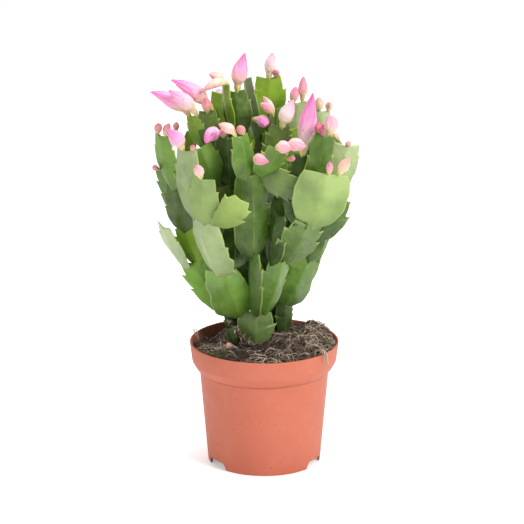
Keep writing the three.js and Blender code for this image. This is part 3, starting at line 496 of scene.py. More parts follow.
# A stem is (foot, turn of its foot, half width of its foot, segments).
# A segment is (parent, place across the parent's tip, tip, width, face, fold, bow, outline). Segments are
# numbered from 0 in their stem, a parent is such a number, and other tables call them front0 and so on.
STEMS = {
    "front": ((-6, 2), 5, 9, (
        (None, 0, (-6, 1, 106), 28, 5, 6, 0.5, "trunk/stub"),
        (0, -1.2, (-29, -17, 143), 33, -2, 24, 1, "full/slim"),
        (0, -0.2, (-8, -17, 157), 22, -64, 16, 1, "toothed"),
        (0, 0.7, (12, -8, 147), 24, 38, 22, 1.5, "toothed"),
        (1, -0.4, (-43, -32, 184), 30, -38, 18, 2, "plain/barbed"),
        (4, 0.2, (-41, -42, 215), 21, -22, 10, 2, "lobed"),
        (4, 0.9, (-16, -50, 203), 25, 12, 6, 2, "fan/hooked"),
        (4, -0.9, (-53, -34, 233), 21, -36, 10, 2, "lobed"),
        (1, 0.9, (-20, -7, 171), 22, 0, 14, 1, "hidden"),
        (8, -0.4, (-28, -17, 204), 22, -8, 12, 1, "toothed"),
        (9, -0.9, (-43, -29, 234), 20, 14, 12, 2, "lobed"),
        (9, 0.8, (-25, -18, 238), 22, -12, 10, 2, "lobed"),
        (2, 0, (-9, -32, 216), 29, 22, 18, 2.5, "plain/sawn"),
        (12, -0.5, (-16, -33, 243), 17, 34, 12, 2, "lobed"),
        (12, 0.9, (9, -40, 236), 20, 24, 10, 2, "toothed"),
        (3, -0.9, (9, -20, 184), 18, -42, 14, 1, "toothed"),
        (12, 1.15, (25, -29, 202), 18, 12, 8, 1, "toothed"),
        (3, 0.9, (30, -30, 180), 28, 16, 10, 2, "toothed"),
        (17, 0.45, (42, -40, 219), 36, 6, 8, 3, "round"),
        (17, -0.1, (41, -30, 243), 18, 16, 8, 1, "lobed"),
        (17, -1, (27, -16, 225), 20, -6, 12, 1, "toothed"),
    )),
    "right": ((14, 24), 15, 6, (
        (None, 0, (14, 24, 106), 13, 24, 6, 0.5, "stub"),
        (0, 0, (32, 12, 144), 29, 28, 16, 1, "toothed/full"),
        (1, 0, (37, 7, 160), 17, 14, 10, 0, "hidden"),
        (2, 0.2, (50, 2, 194), 30, 18, 10, 1, "full/hooked"),
        (3, 0.3, (57, -3, 229), 20, 4, 8, 1, "wedge"),
        (3, -0.9, (46, 9, 229), 17, -14, 10, 1, "toothed"),
        (1, 1, (51, 26, 174), 23, 76, 12, 1, "toothed"),
        (6, 0, (60, 22, 206), 22, 80, 10, 2, "toothed"),
        (7, 0, (52, 27, 225), 18, 78, 10, 1, "lobed"),
    )),
    "left": ((-21, 19), -10, 6, (
        (None, 0, (-24, 18, 104), 11, -10, 4, 0.5, "stub"),
        (0, -0.5, (-50, 8, 142), 29, -22, 12, 1.5, "toothed"),
        (1, -0.9, (-70, -4, 171), 21, -52, 8, 2, "lobed"),
        (1, 0.5, (-56, 6, 167), 22, -26, 12, 1, "toothed"),
        (3, 0, (-61, 5, 198), 23, -22, 12, 1, "toothed"),
        (4, -0.5, (-71, -3, 236), 20, -48, 10, 1.5, "lobed"),
        (4, 0.9, (-54, -9, 221), 15, 4, 10, 1, "toothed"),
        (0, 0.4, (-46, 20, 141), 20, -72, 12, 1, "hidden"),
        (7, 0, (-56, 19, 174), 21, -84, 12, 1, "toothed"),
        (8, 0, (-71, 24, 205), 26, -46, 10, 2, "toothed"),
        (9, 0, (-62, 26, 233), 19, -92, 10, 1, "lobed"),
    )),
    "middle": ((-3, 18), 0, 5.5, (
        (None, 0, (-3, 18, 106), 15, 0, 6, 0.5, "stub"),
        (0, 0, (-11, 14, 141), 20, -8, 14, 1, "hidden"),
        (1, 0, (-12, 7, 177), 22, 0, 14, 1, "hidden"),
        (2, -0.5, (-18, 4, 211), 22, -10, 12, 1, "hidden"),
        (3, 0.3, (-18, 7, 238), 18, -10, 10, 1, "hidden"),
        (4, 0.2, (-20, 10, 264), 19, 0, 10, 1, "lobed"),
        (4, -0.9, (-27, 5, 270), 15, -64, 8, 1, "lobed"),
        (3, -0.9, (-37, -6, 231), 20, -24, 12, 1, "toothed"),
        (7, -0.1, (-39, -8, 254), 15, -4, 10, 1, "lobed"),
        (7, -1.3, (-49, -5, 250), 14, -34, 10, 1, "lobed"),
        (7, 1.2, (-36, 4, 252), 13, 44, 10, 1, "lobed"),
        (2, 0.9, (0, -8, 215), 21, 14, 12, 1, "lobed"),
        (11, 0.9, (11, -12, 244), 18, 10, 10, 1, "toothed"),
        (11, 0, (6, 1, 249), 13, 80, 8, 1, "lobed"),
    )),
    "back": ((4, 33), 0, 5.5, (
        (None, 0, (4, 34, 108), 15, 0, 6, 0.5, "stub"),
        (0, -0.3, (4, 29, 147), 20, 0, 12, 1, "hidden"),
        (1, 0, (5, 25, 186), 22, 0, 12, 1, "hidden"),
        (2, -0.4, (2, 27, 227), 22, -6, 10, 1, "toothed"),
        (3, 0.5, (3, 31, 269), 24, 2, 6, 1, "toothed"),
        (3, -1.1, (-12, 24, 271), 15, -57, 8, 1, "lobed"),
        (2, 0.8, (13, 9, 215), 20, 24, 12, 1, "hidden"),
        (6, -0.8, (9, 12, 252), 18, 8, 10, 1, "toothed"),
        (6, 0.8, (19, -2, 240), 17, 20, 10, 1, "toothed"),
        (0, 0.4, (0, 52, 145), 22, 180, 12, 1, "hidden"),
        (9, 0, (-3, 66, 181), 26, 176, 10, 2, "toothed"),
        (10, 0.7, (-12, 71, 216), 22, 188, 8, 2, "lobed"),
        (10, -0.8, (14, 66, 216), 22, 168, 8, 2, "toothed"),
        (11, 0, (-8, 66, 243), 20, 184, 8, 2, "lobed"),
    )),
    "back_left": ((-17, 33), -30, 5.5, (
        (None, 0, (-18, 35, 107), 15, -30, 6, 0.5, "stub"),
        (0, -0.7, (-34, 42, 142), 25, 220, 12, 1, "toothed"),
        (1, 0.8, (-50, 43, 177), 21, 238, 10, 2, "toothed"),
        (2, 0, (-56, 42, 205), 23, 240, 8, 2, "toothed"),
        (3, 0, (-52, 41, 229), 19, 238, 8, 1, "lobed"),
        (1, -0.8, (-30, 58, 178), 22, 206, 10, 2, "toothed"),
        (5, 0, (-37, 62, 214), 24, 212, 8, 2, "lobed"),
        (6, 0, (-31, 56, 243), 19, 206, 8, 2, "lobed"),
        (0, 0.8, (-16, 38, 145), 18, 0, 12, 1, "hidden"),
        (8, 0, (-20, 40, 183), 20, -10, 12, 1, "hidden"),
        (9, 0, (-26, 38, 221), 22, -20, 10, 1, "hidden"),
        (10, 0, (-30, 33, 258), 19, -10, 10, 1, "lobed"),
    )),
    "back_right": ((15, 36), 30, 5.5, (
        (None, 0, (17, 38, 107), 10, 30, 6, 0.5, "stub"),
        (0, 0.7, (29, 48, 143), 24, 140, 12, 1, "toothed"),
        (1, -0.4, (46, 48, 176), 24, 124, 10, 2, "toothed"),
        (2, 0, (52, 47, 205), 23, 122, 8, 2, "toothed"),
        (3, 0, (47, 43, 223), 17, 124, 8, 1, "lobed"),
        (1, 0.7, (32, 60, 178), 24, 152, 10, 2, "toothed"),
        (5, 0, (34, 64, 210), 25, 150, 8, 2, "lobed"),
        (6, 0, (31, 56, 234), 20, 154, 8, 1, "lobed"),
        (0, 0.2, (27, 39, 145), 16, 0, 12, 1, "hidden"),
        (8, 0, (25, 32, 183), 24, 10, 12, 1, "hidden"),
        (9, 0, (27, 25, 219), 22, 10, 10, 1, "hidden"),
        (10, -0.9, (23, 15, 255), 17, 8, 10, 1, "lobed"),
        (10, 1, (41, 23, 247), 16, 24, 10, 1, "lobed"),
    )),
}

# A bud is (segment, place across its width, place along it, tip, width, kind), numbered from 1.
BUDS = (
    ("middle5", 0.15, 1, (-13, 8, 292), 10.5, "large"),
    ("back4", 0, 1, (6, 28, 288), 7.5, "medium"),
    ("back4", 0.4, 1, (9, 26, 274), 4.5, "small"),
    ("middle10", 0, 1, (-64, -6, 276), 10.5, "large"),
    ("middle9", -0.45, 1, (-78, -12, 269), 10, "large"),
    ("middle9", 0.45, 1, (-65, -21, 272), 9.5, "large"),
    ("middle8", 0, 1, (-40, -13, 265), 6.5, "small"),
    ("middle6", -0.35, 1, (-38, 3, 278), 7, "medium"),
    ("middle6", 0.4, 1, (-42, -6, 268), 6, "small"),
    ("front7", -0.3, 1, (-65, -44, 250), 10, "large"),
    ("front7", 0.5, 1, (-48, -39, 238), 3.5, "small"),
    ("left5", -0.4, 1, (-72, -5, 245), 5, "small"),
    ("left5", 0.4, 1, (-65, -8, 246), 5, "small"),
    ("left10", 0, 1, (-61, 25, 239), 4, "small"),
    ("backleft4", 0, 1, (-52, 40, 235), 4, "small"),
    ("front5", -0.2, 1, (-46, -50, 227), 6.5, "medium"),
    ("left5", -1, 0.3, (-74, -3, 213), 3.6, "small"),
    ("front11", -0.6, 1, (-40, -34, 238.5), 9.2, "medium"),
    ("front11", -0.3, 1, (-28, -25, 245), 5, "small"),
    ("front13", -0.4, 1, (-31, -40, 253), 6.5, "medium"),
    ("front13", 0.3, 1, (-18, -39, 250), 5.5, "small"),
    ("front14", 1, 0.7, (18, -46, 232), 3.8, "small"),
    ("front14", -1, 0.62, (3, -51, 229.5), 7.5, "medium"),
    ("middle5", 1, 0.3, (0, -16, 246.5), 7.8, "medium"),
    ("middle13", -0.35, 1, (-3, -6, 259), 6, "small"),
    ("middle13", 0.4, 1, (-1, 4, 262), 4.5, "small"),
    ("middle12", 0.1, 1, (20, -18, 265), 10, "large"),
    ("backright11", -0.35, 1, (22, 12, 267), 6, "small"),
    ("backright11", 0.4, 1, (27, 14, 274), 6, "medium"),
    ("front20", -0.1, 1, (33, -27, 272), 12, "large"),
    ("front19", 0.5, 1, (44.5, -33, 257.5), 9.6, "medium"),
    ("front19", -0.1, 1, (38, -35, 247.5), 3.4, "small"),
    ("front19", -0.7, 1, (39.5, -25, 248), 6, "small"),
    ("backright12", -0.4, 1, (38, 19, 258), 6, "small"),
    ("backright12", 0.5, 1, (45, 18, 254), 5, "small"),
    ("front14", -0.1, 1, (18, -50, 238), 8.5, "medium"),
    ("front14", 0.6, 1, (28, -50, 240), 8.5, "medium"),
    ("front18", 0.1, 1, (44, -46, 228.5), 4.4, "small"),
    ("front18", 0.5, 1, (57.5, -46, 231), 7, "medium"),
    ("right4", 0, 1, (59, -4, 232), 3.6, "small"),
    ("back13", 0, 1, (-10, 81, 251), 9.5, "large"),
    ("back12", 0, 1, (18, 78, 226), 7, "medium"),
    ("backleft6", 1, 0.72, (-53, 58, 211), 6, "small"),
    ("backleft7", 0, 1, (-33, 66, 253), 8, "medium"),
    ("backright7", 0, 1, (32, 66, 244), 9, "medium"),
    ("right8", 0, 1, (48, 33, 228), 4, "small"),
)


def linear(colour):
    """A display colour from 0 to 255 as scene-linear values."""
    shares = np.asarray(colour, float) / 255
    return np.where(shares <= 0.04045, shares / 12.92, ((shares + 0.055) / 1.055) ** 2.4)


def mix(a, b, share):
    return a + (b - a) * share


def shade_between(dark, pale, share):
    return mix(linear(dark), linear(pale), share)


def clamp(value, low=0, high=1):
    return min(max(value, low), high)


def unit(vector):
    return vector / np.linalg.norm(vector)


def round_angles(count):
    return [i / count * math.tau for i in range(count)]


def circle(radius, count, z, x=0, y=0):
    """The points of a level circle."""
    return [(x + radius * math.cos(turn), y + radius * math.sin(turn), z) for turn in round_angles(count)]


def turned(x, y, turn):
    return x * math.cos(turn) - y * math.sin(turn), x * math.sin(turn) + y * math.cos(turn)


def random_source(seed):
    """The same small random source as the part's, one for each seed."""
    word = 0xFFFFFFFF
    state = seed

    def draw():
        nonlocal state
        state = (state + 0x6D2B79F5) & word
        t = ((state ^ (state >> 15)) * (state | 1)) & word
        t ^= (t + (((t ^ (t >> 7)) * (t | 61)) & word)) & word
        return ((t ^ (t >> 14)) & word) / 4294967296

    return draw


def swing(draw):
    """A random number from -1 to 1."""
    return draw() * 2 - 1


def pick(draw, least, spread, power=1):
    """A random number from the least to the least plus the spread; a power above 1 favours low ones."""
    return least + spread * draw() ** power


def scatter(draw, across, deep):
    """A random shift on the level."""
    return np.array([across * (draw() - 0.5), deep * (draw() - 0.5), 0])


def put_in_scene(name, data):
    thing = bpy.data.objects.new(name, data)
    bpy.context.scene.collection.objects.link(thing)
    return thing


def make_piece(name, points, faces, tones, places, material, slot, replaced=()):
    """A smooth mesh in metres from points in millimetres, with a tone and a place for each point."""
    mesh = bpy.data.meshes.new(name)
    mesh.from_pydata((np.asarray(points) * MM).tolist(), [], faces)
    mesh.polygons.foreach_set("use_smooth", [True] * len(mesh.polygons))
    tone = mesh.attributes.new("tone", "FLOAT_COLOR", "POINT")
    opaque = np.c_[np.asarray(tones), np.ones(len(points))]
    tone.data.foreach_set("color", opaque.astype(np.float32).ravel())
    place = mesh.attributes.new("place", "FLOAT_VECTOR", "POINT")
    place.data.foreach_set("vector", np.asarray(places, np.float32).ravel())
    mesh.materials.append(material)
    piece = put_in_scene(name, mesh)
    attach(piece, "root")
    if replaced:
        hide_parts(*replaced)
    return piece


class Heap:
    """Several meshes gathered in one."""

    def __init__(self):
        self.points, self.faces, self.tones, self.places = [], [], [], []

    def add(self, points, faces, tones=(), places=()):
        start = len(self.points)
        self.points.extend(points)
        self.faces.extend([[start + i for i in face] for face in faces])
        self.tones.extend(tones)
        self.places.extend(places)

    def piece(self, name, material, slot, replaced=()):
        return make_piece(name, self.points, self.faces, self.tones, self.places, material, slot, replaced)


def ring_faces(rings, sides):
    """Faces of a closed tube of rings, with a flat cap at each end."""
    faces = [
        [low + i, low + (i + 1) % sides, low + sides + (i + 1) % sides, low + sides + i]
        for low in range(0, (rings - 1) * sides, sides)
        for i in range(sides)
    ]
    faces.append(list(range(sides - 1, -1, -1)))
    faces.append([(rings - 1) * sides + i for i in range(sides)])
    return faces


# Segments


def half_outline(kind, draw):
    """One half of a segment's outline, with its teeth a little different on every segment and side."""
    half = []
    last = len(OUTLINES[kind]) - 1
    for i, (across, along, rib) in enumerate(OUTLINES[kind]):
        if 0 < i < last:
            across *= 1 + JITTER * swing(draw)
            along += JITTER * 0.5 * swing(draw)
        half.append((across, along, rib))
    return half


def make_blade(base, tip, width, face, slope, bow, outline, seed, tone):
    """The measures and directions of a segment. Its outline names one kind, or one for each side."""
    draw = random_source(seed)
    kinds = (outline.split("/") * 2)[:2]
    axis = unit(tip - base)
    turn = math.radians(face)
    normal = np.array([math.sin(turn), -math.cos(turn), 0])
    normal = unit(normal - axis * normal.dot(axis))
    return SimpleNamespace(
        base=base, axis=axis, normal=normal, side=np.cross(axis, normal), length=np.linalg.norm(tip - base),
        width=width, slope=slope, bow=bow, tone=tone, seed=seed,
        plain=[OUTLINES[kind] for kind in kinds], halves=[half_outline(kind, draw) for kind in kinds],
        stub=outline.endswith("stub"), step=EDGE_STEP * (2 if outline == "hidden" else 1),
    )


def blade_name(stem, number):
    return f"{stem.replace('_', '')}{number}"


def grow_blades():
    """Every segment by name, with its base on its parent's tip or its stem's foot."""
    blades = {}
    tone_of = {name: tone for tone, names in TONE_OF.items() for name in names.split()}
    for stem, (foot, _, _, rows) in STEMS.items():
        for number, (parent, across, tip, width, face, fold, bow, outline) in enumerate(rows):
            base = np.array([*foot, SOIL_LEVEL - STUB_DROP], float)
            if parent is not None:
                base = blade_point(blades[blade_name(stem, parent)], across * TIP_SPREAD, TIP_ANCHOR)
            tip = np.array(tip, float)
            base = base - unit(tip - base) * ROOT_SINK
            name = blade_name(stem, number)
            slope = math.tan(math.radians(fold))
            seed = BLADE_SEED + len(blades)
            tone = tone_of.get(name, "leaf")
            blades[name] = make_blade(base, tip, width, face, slope, bow, outline, seed, tone)
    return blades


def withered_leaf():
    """A small dead segment that stands in the soil by the front stem."""
    base, tip = (np.array(WITHERED[end], float) for end in ("base", "tip"))
    width, face, slope, bow = (WITHERED[key] for key in ("width", "face", "slope", "bow"))
    return make_blade(base, tip, width, face, slope, bow, "toothed", WITHERED_SEED, "old_dark")


def bowed(blade, along):
    return blade.bow * 4 * along * (1 - along)


def blade_point(blade, across, along):
    """A point of a segment's middle surface, as the part places it."""
    x = across * blade.width * 0.5
    off = bowed(blade, along) - blade.slope * abs(x)
    return blade.base + blade.axis * blade.length * along + blade.side * x + blade.normal * off


def fine_halves(blade):
    """Both half outlines as close points: long stretches curve outward and the teeth stay sharp."""
    reach = blade.width * 0.5
    size = np.array([reach, blade.length])
    runs = [np.diff(np.array(plain)[:, :2] * size, axis=0) for plain in blade.plain]
    longest = np.max([np.linalg.norm(run, axis=1) for run in runs], axis=0)
    counts = np.maximum(2, np.round(longest / blade.step)).astype(int)
    fine = []
    for half, plain in zip(blade.halves, blade.plain):
        points, spurs = [], []
        for i, count in enumerate(counts):
            low, high = np.array(half[i]), np.array(half[i + 1])
            (wide, start, _), (narrow, end, _) = plain[i : i + 2]
            if i and narrow < wide - TOOTH_NARROWING and end < start + TOOTH_LEAST_RISE:
                spurs.append(len(points))
            swell = EDGE_BULGE * BULGE_TO_ONE if end - start > LONG_RISE else 0
            for k in range(count):
                share = k / count
                bulge = swell * share * (1 - share) ** 2
                point = mix(low, high, share)
                point[0] += (high[1] - low[1]) * blade.length * bulge / reach
                point[1] -= (high[0] - low[0]) * reach * bulge / blade.length
                points.append(point)
        points = np.array([*points, half[-1]])
        points[1:-1, :2] = (points[:-2, :2] + 2 * points[1:-1, :2] + points[2:, :2]) / 4
        tip = np.zeros(len(points))
        for place in spurs:
            points[place, :2] += TOOTH_SPUR / size
            tip[place - 1 : place + 2] = TOOTH_MARK
        fine.append((points, tip))
    return fine


def blade_columns(blade, sign, half, tip, rib_half, draw):
    """The columns of one side from the rib to the rim, each with its share of the reach and its lift."""
    rib = half[:, 2]
    edge_half = EDGE_THICKNESS / 2
    reach_x = sign * half[:, 0] * blade.width * 0.5
    reach_y = (half[:, 1] - rib) * blade.length
    inset = np.minimum(0.5, edge_half / np.hypot(reach_x, reach_y))
    phase, waves = draw() * math.tau, pick(draw, *EDGE_WAVES)
    side = []
    for column in COLUMNS:
        side.append((column * (1 - inset), edge_half + (rib_half - edge_half) * (1 - column**THINNING)))
    for angle in RIM_ANGLES:
        turn = math.radians(angle)
        side.append((1 - inset * (1 - math.sin(turn)), np.full(len(rib), edge_half * math.cos(turn))))
    side.append((np.ones(len(rib)), np.zeros(len(rib))))
    return [(share, lift, reach_x, reach_y, phase, waves, tip) for share, lift in side]


def blade_mesh(blade):
    """A segment: rows of points round it from its joint to its tip, with a rounded rim."""
    draw = random_source(blade.seed + WAVE_SEED)
    halves = fine_halves(blade)
    rib = halves[0][0][:, 2]
    rows = len(rib)
    rib_half = 0.5 * mix(RIB_THICKNESS_BASE, RIB_THICKNESS_TIP, rib)
    if blade.stub:
        rib_half = np.full(rows, STUB_THICKNESS / 2)
    left, right = (blade_columns(blade, sign, *half, rib_half, draw) for sign, half in zip((-1, 1), halves))
    front = [(column, 1) for column in left[:0:-1] + right]
    back = [(column, -1) for column in right[-2:0:-1] + left[:-1]]
    loop = front + back
    count = len(loop)
    grid, places = np.zeros((rows, count, 3)), np.zeros((rows, count, 3))
    lifts = np.zeros((rows, count))
    for c, ((share, lift, reach_x, reach_y, phase, waves, tip), face) in enumerate(loop):
        x = reach_x * share
        along = rib + reach_y * share / blade.length
        ridge = RIB_RIDGE * np.exp(-((x / RIB_RIDGE_WIDTH) ** 2))
        soft = np.sqrt(x * x + FOLD_ROUNDING**2) - FOLD_ROUNDING
        wave = EDGE_WAVE * share**2 * np.sin(math.tau * waves * along + phase)
        lifts[:, c] = face * (lift + np.where(lift > 0, ridge, 0))
        off = bowed(blade, along) - blade.slope * soft + wave + lifts[:, c]
        ways = ((along * blade.length, blade.axis), (x, blade.side), (off, blade.normal))
        grid[:, c] = blade.base + sum(np.outer(reach, way) for reach, way in ways)
        places[:, c] = np.c_[share, along, tip * share**6]
    last, lift = grid[-1], lifts[-1]
    for angle in TIP_ROUNDS:
        turn = math.radians(angle)
        inward = np.outer(lift * (1 - math.cos(turn)), blade.normal)
        outward = np.outer(np.abs(lift) * math.sin(turn), blade.axis)
        grid = np.concatenate([grid, (last - inward + outward)[None]])
        places = np.concatenate([places, places[-1:]])
    faces = ring_faces(len(grid), count)[:-1]
    top = (len(grid) - 1) * count
    for j in range(len(front) - 1):
        corners = [top + j, top + j + 1, top + (count - j - 1) % count, top + (count - j) % count]
        faces.append(list(dict.fromkeys(corners)))
    places = places.reshape(-1, 3)
    tone = linear(TONES[blade.tone]) * pick(draw, *BLADE_SHADES)
    rise = np.clip(places[:, 1], 0, 1)[:, None]
    tones = tone * mix(BASE_SHADE, 1, np.minimum(rise * SHADE_RISE, 1))
    return grid.reshape(-1, 3), faces, mix(tones, tones * TIP_BLOOM, rise**2), places


def foot_mesh(foot, turn, half_width):
    """The woody oval foot of a stem, from inside the soil to just above it."""
    points = []
    for z, share in FOOT_LEVELS:
        for x, y, _ in circle(share, FOOT_SIDES, z):
            x, y = turned(x * half_width, y * FOOT_THICKNESS_RADIUS, math.radians(turn))
            points.append((foot[0] + x, foot[1] + y, z))
    tone = linear(TONES["old"]) * FOOT_SHADE
    faces = ring_faces(len(FOOT_LEVELS), FOOT_SIDES)
    return points, faces, [tone] * len(points), [FOOT_PLACE] * len(points)


def build_stems(blades):
    """A piece for each stem, and one for the withered leaf."""
    skin = blade_material()
    for stem, (foot, turn, half_width, rows) in STEMS.items():
        heap = Heap()
        for number in range(len(rows)):
            heap.add(*blade_mesh(blades[blade_name(stem, number)]))
        heap.add(*foot_mesh(foot, turn, half_width))
        heap.piece(f"stem_{stem}_blades", skin, "blade", (f"stem_{stem}",))
    make_piece("soil_withered_leaf", *blade_mesh(withered_leaf()), skin, "blade")


# Buds


def edge_share(half, along):
    """How far out a segment's edge is at a place along it, as a share of the half width."""
    share = 0
    for low, high in zip(half, half[1:]):
        step = (along - low[1]) / (high[1] - low[1])
        if 0 <= step <= 1:
            share = max(share, mix(low[0], high[0], step))
    return share


def bud_start(blade, across, along, tip, radius):
    """Where a bud leaves its segment, and which way it starts."""
    half = blade.halves[0 if across < 0 else 1]
    sign = (across > 0) - (across < 0)
    if along >= 1:
        share, end, rib = half[-1]
        root = blade_point(blade, across, mix(rib, end, abs(across) / share))
        out = blade.axis
    else:
        root = blade_point(blade, sign * edge_share(half, along), along)
        out = blade.side * sign
    start = unit(unit(tip - root) + out)
    lean = math.sqrt(1 - min(1, start.dot(out)) ** 2)
    return root + out * (BUD_GAP + radius * lean), start


def curve(low, bend, high, s):
    """A point on an arc that is drawn toward its bend."""
    return low * (1 - s) ** 2 + bend * 2 * s * (1 - s) + high * s * s


class Spindle:
    """A bud's bent middle line, with its width, directions and tone at each place along it."""

    def __init__(self, base, start, tip, width, kind, tones):
        self.base, self.tip, self.width = base, tip, width
        self.bend = base + start * np.linalg.norm(tip - base) * BUD_BEND
        self.stops, self.shares = zip(*BUD_SHAPES[kind])
        self.tones = np.array([linear(tone) for tone in tones])
        self.rings = {}

    def ring(self, s):
        """Centre, two directions across, radius and colour at a place along the bud."""
        key = round(s, 4)
        if key not in self.rings:
            centre = curve(self.base, self.bend, self.tip, s)
            tangent = unit(mix(self.bend - self.base, self.tip - self.bend, s))
            right = unit(np.cross(tangent, BUD_LEVEL))
            radius = float(np.interp(s, self.stops, self.shares)) * self.width * 0.5
            colour = np.array([np.interp(s, BUD_TONE_STOPS, channel) for channel in self.tones.T])
            self.rings[key] = (centre, right, np.cross(tangent, right), radius, colour)
        return self.rings[key]

    def points(self, s, angles, offs):
        centre, right, up, radius, _ = self.ring(clamp(s))
        ways = np.outer(np.cos(angles), right) + np.outer(np.sin(angles), up)
        return centre + ways * (radius + offs)[:, None]

    def colour(self, s, pale):
        """The colour at a place, blended toward a creamy white by the given shares."""
        return mix(self.ring(s)[4], linear(MARKS["bud cream"]), np.asarray(pale)[:, None])


def bud_mesh(base, start, tip, width, kind, tones, seed):
    """A bud: a smooth spindle on a bent line, with whorls of thin petals laid over it."""
    draw = random_source(seed)
    spindle = Spindle(base, start, tip, width, kind, tones)
    angles = np.array(round_angles(BUD_SIDES))
    points, shades, places = [], [], []
    for r in range(-1, BUD_RINGS + 1):
        s = max(r, 0) / BUD_RINGS
        ring = spindle.points(s, angles, BUD_RIDGE * width * np.cos(BUD_RIDGES * angles) * (1 - s))
        points.extend(ring - start * BUD_ROOT if r < 0 else ring)
        shades.extend(spindle.colour(s, np.zeros(BUD_SIDES)))
        places.extend((angle / math.tau, s, 0) for angle in angles)
    heap = Heap()
    heap.add(points, ring_faces(BUD_RINGS + 2, BUD_SIDES), shades, places)
    for petals, low, high, half_angle, stand, turn in BUD_WHORLS[kind]:
        for k in range(petals):
            middle = math.radians(turn + 360 * k / petals + PETAL_TURN_JITTER * (draw() - 0.5))
            reach = high - PETAL_END_JITTER * draw()
            heap.add(*petal_mesh(spindle, low, reach, middle, math.radians(half_angle), stand))
    return heap


def petal_mesh(spindle, low, high, middle, half_angle, stand):
    """One petal: a thin closed shell that widens, then narrows to a point, a little proud at its end."""
    q = np.linspace(-1, 1, 2 * PETAL_COLUMNS + 1)
    lifts = (PETAL_CROWN * (1 - q * q) + PETAL_EDGE, np.full(len(q), -PETAL_EDGE))
    points, shades, places = [], [], []
    for lift in lifts:
        for u in np.arange(PETAL_ROWS + 1) / PETAL_ROWS:
            s = mix(low, high, u)
            spread = half_angle * math.sqrt(math.sin(math.pi * mix(PETAL_BASE, 1, u)))
            offs = stand * u * u + PETAL_STAND * spindle.width + lift
            points.extend(spindle.points(s, middle + q * spread, offs))
            shades.extend(spindle.colour(s, PETAL_PALE_EDGE * np.abs(q) ** 3 + PETAL_PALE_BASE * (1 - u)))
            places.extend((across, u, 1) for across in q)
    return points, petal_faces(len(q)), shades, places


def petal_faces(wide):
    """Faces of a petal's two sides, of its two edges and of its ends."""
    back = (PETAL_ROWS + 1) * wide
    faces = []
    for low in range(0, PETAL_ROWS * wide, wide):
        high = low + wide
        for c in range(wide - 1):
            faces.append([low + c, low + c + 1, high + c + 1, high + c])
            faces.append([back + low + c, back + high + c, back + high + c + 1, back + low + c + 1])
        faces.append([low, high, back + high, back + low])
        faces.append([high - 1, back + high - 1, back + high + wide - 1, high + wide - 1])
    for c in range(wide - 1):
        top = PETAL_ROWS * wide + c
        faces.append([c, back + c, back + c + 1, c + 1])
        faces.append([top, top + 1, back + top + 1, back + top])
    return faces


def build_buds(blades):
    petals = bud_material()
    tone_of = {number: tone for tone, numbers in BUD_TONE_OF.items() for number in numbers}
    for number, (segment, across, along, tip, width, kind) in enumerate(BUDS, 1):
        name = f"bud_{number:02}"
        tip = np.array(tip, float)
        joint_radius = BUD_SHAPES[kind][0][1] * width * 0.5
        base, start = bud_start(blades[segment], across, along, tip, joint_radius)
        tones = BUD_TONES[tone_of.get(number, "pink")]
        heap = bud_mesh(base, start, tip, width, kind, tones, BUD_SEED + number)
        heap.piece(f"{name}_petals", petals, "bud", (name,))
    base, tip = (np.array(FALLEN_BUD[end], float) for end in ("base", "tip"))
    seed = BUD_SEED + len(BUDS) + 1
    heap = bud_mesh(base, unit(tip - base), tip, FALLEN_BUD["width"], "small", BUD_TONES["dusky"], seed)
    heap.piece("bud_fallen_petals", petals, "bud", ("bud_fallen",))


# Pot


def rounded(profile, radius):
    """A profile with each of its inner corners turned into a small arc."""
    profile = [np.array(corner, float) for corner in profile]
    points = [profile[0]]
    for before, corner, after in zip(profile, profile[1:], profile[2:]):
        reach_in, reach_out = before - corner, after - corner
        shortest = min(np.linalg.norm(reach_in), np.linalg.norm(reach_out))
        size = min(radius, shortest * ARC_LARGEST_SHARE)
        low, high = corner + unit(reach_in) * size, corner + unit(reach_out) * size
        points.extend(curve(low, corner, high, k / ARC_STEPS) for k in range(ARC_STEPS + 1))
    return [*points, profile[-1]]


def inner_radius(z):
    """Radius of the pot's inside below its shoulder."""
    return mix(FOOT_RADIUS, BODY_TOP_RADIUS, z / BODY_TOP) - WALL


def band_radius(z):
    """Radius of the pot's inside above its shoulder."""
    share = (z - SHOULDER_TOP) / (POT_HEIGHT - SHOULDER_TOP)
    return mix(SHOULDER_TOP_RADIUS, RIM_RADIUS, share) - WALL


def lathe_mesh(profile, segments):
    """A closed turned form whose profile starts and ends on the axis."""
    points = [(0, 0, profile[0][1])]
    for r, z in profile[1:-1]:
        points.extend(circle(r, segments, z))
    points.append((0, 0, profile[-1][1]))
    top = 1 + (len(profile) - 3) * segments
    faces = []
    for i in range(segments):
        j = (i + 1) % segments
        faces.append([0, 1 + j, 1 + i])
        for low in range(1, top, segments):
            high = low + segments
            faces.append([low + i, low + j, high + j, high + i])
        faces.append([top + i, top + j, len(points) - 1])
    return points, faces


def prism(outline, low, high, turn):
    """A closed form with an upright outline of [x, z], from one y to another, turned about the axis."""
    points = [(*turned(x, y, turn), z) for y in (low, high) for x, z in outline]
    return points, ring_faces(2, len(outline))


def cut(piece, cutters):
    """Cuts closed forms out of a piece."""
    forms = Heap()
    for points, faces in cutters:
        forms.add(points, faces)
    mesh = bpy.data.meshes.new("cutter")
    mesh.from_pydata((np.asarray(forms.points) * MM).tolist(), [], forms.faces)
    cutter = put_in_scene("cutter", mesh)
    change = piece.modifiers.new("cut", "BOOLEAN")
    change.operation = "DIFFERENCE"
    change.solver = "EXACT"
    change.object = cutter
    bpy.context.view_layer.update()
    whole = piece.data
    evaluated = piece.evaluated_get(bpy.context.evaluated_depsgraph_get())
    piece.data = bpy.data.meshes.new_from_object(evaluated)
    piece.modifiers.clear()
    bpy.data.objects.remove(cutter)
    bpy.data.meshes.remove(mesh)
    bpy.data.meshes.remove(whole)


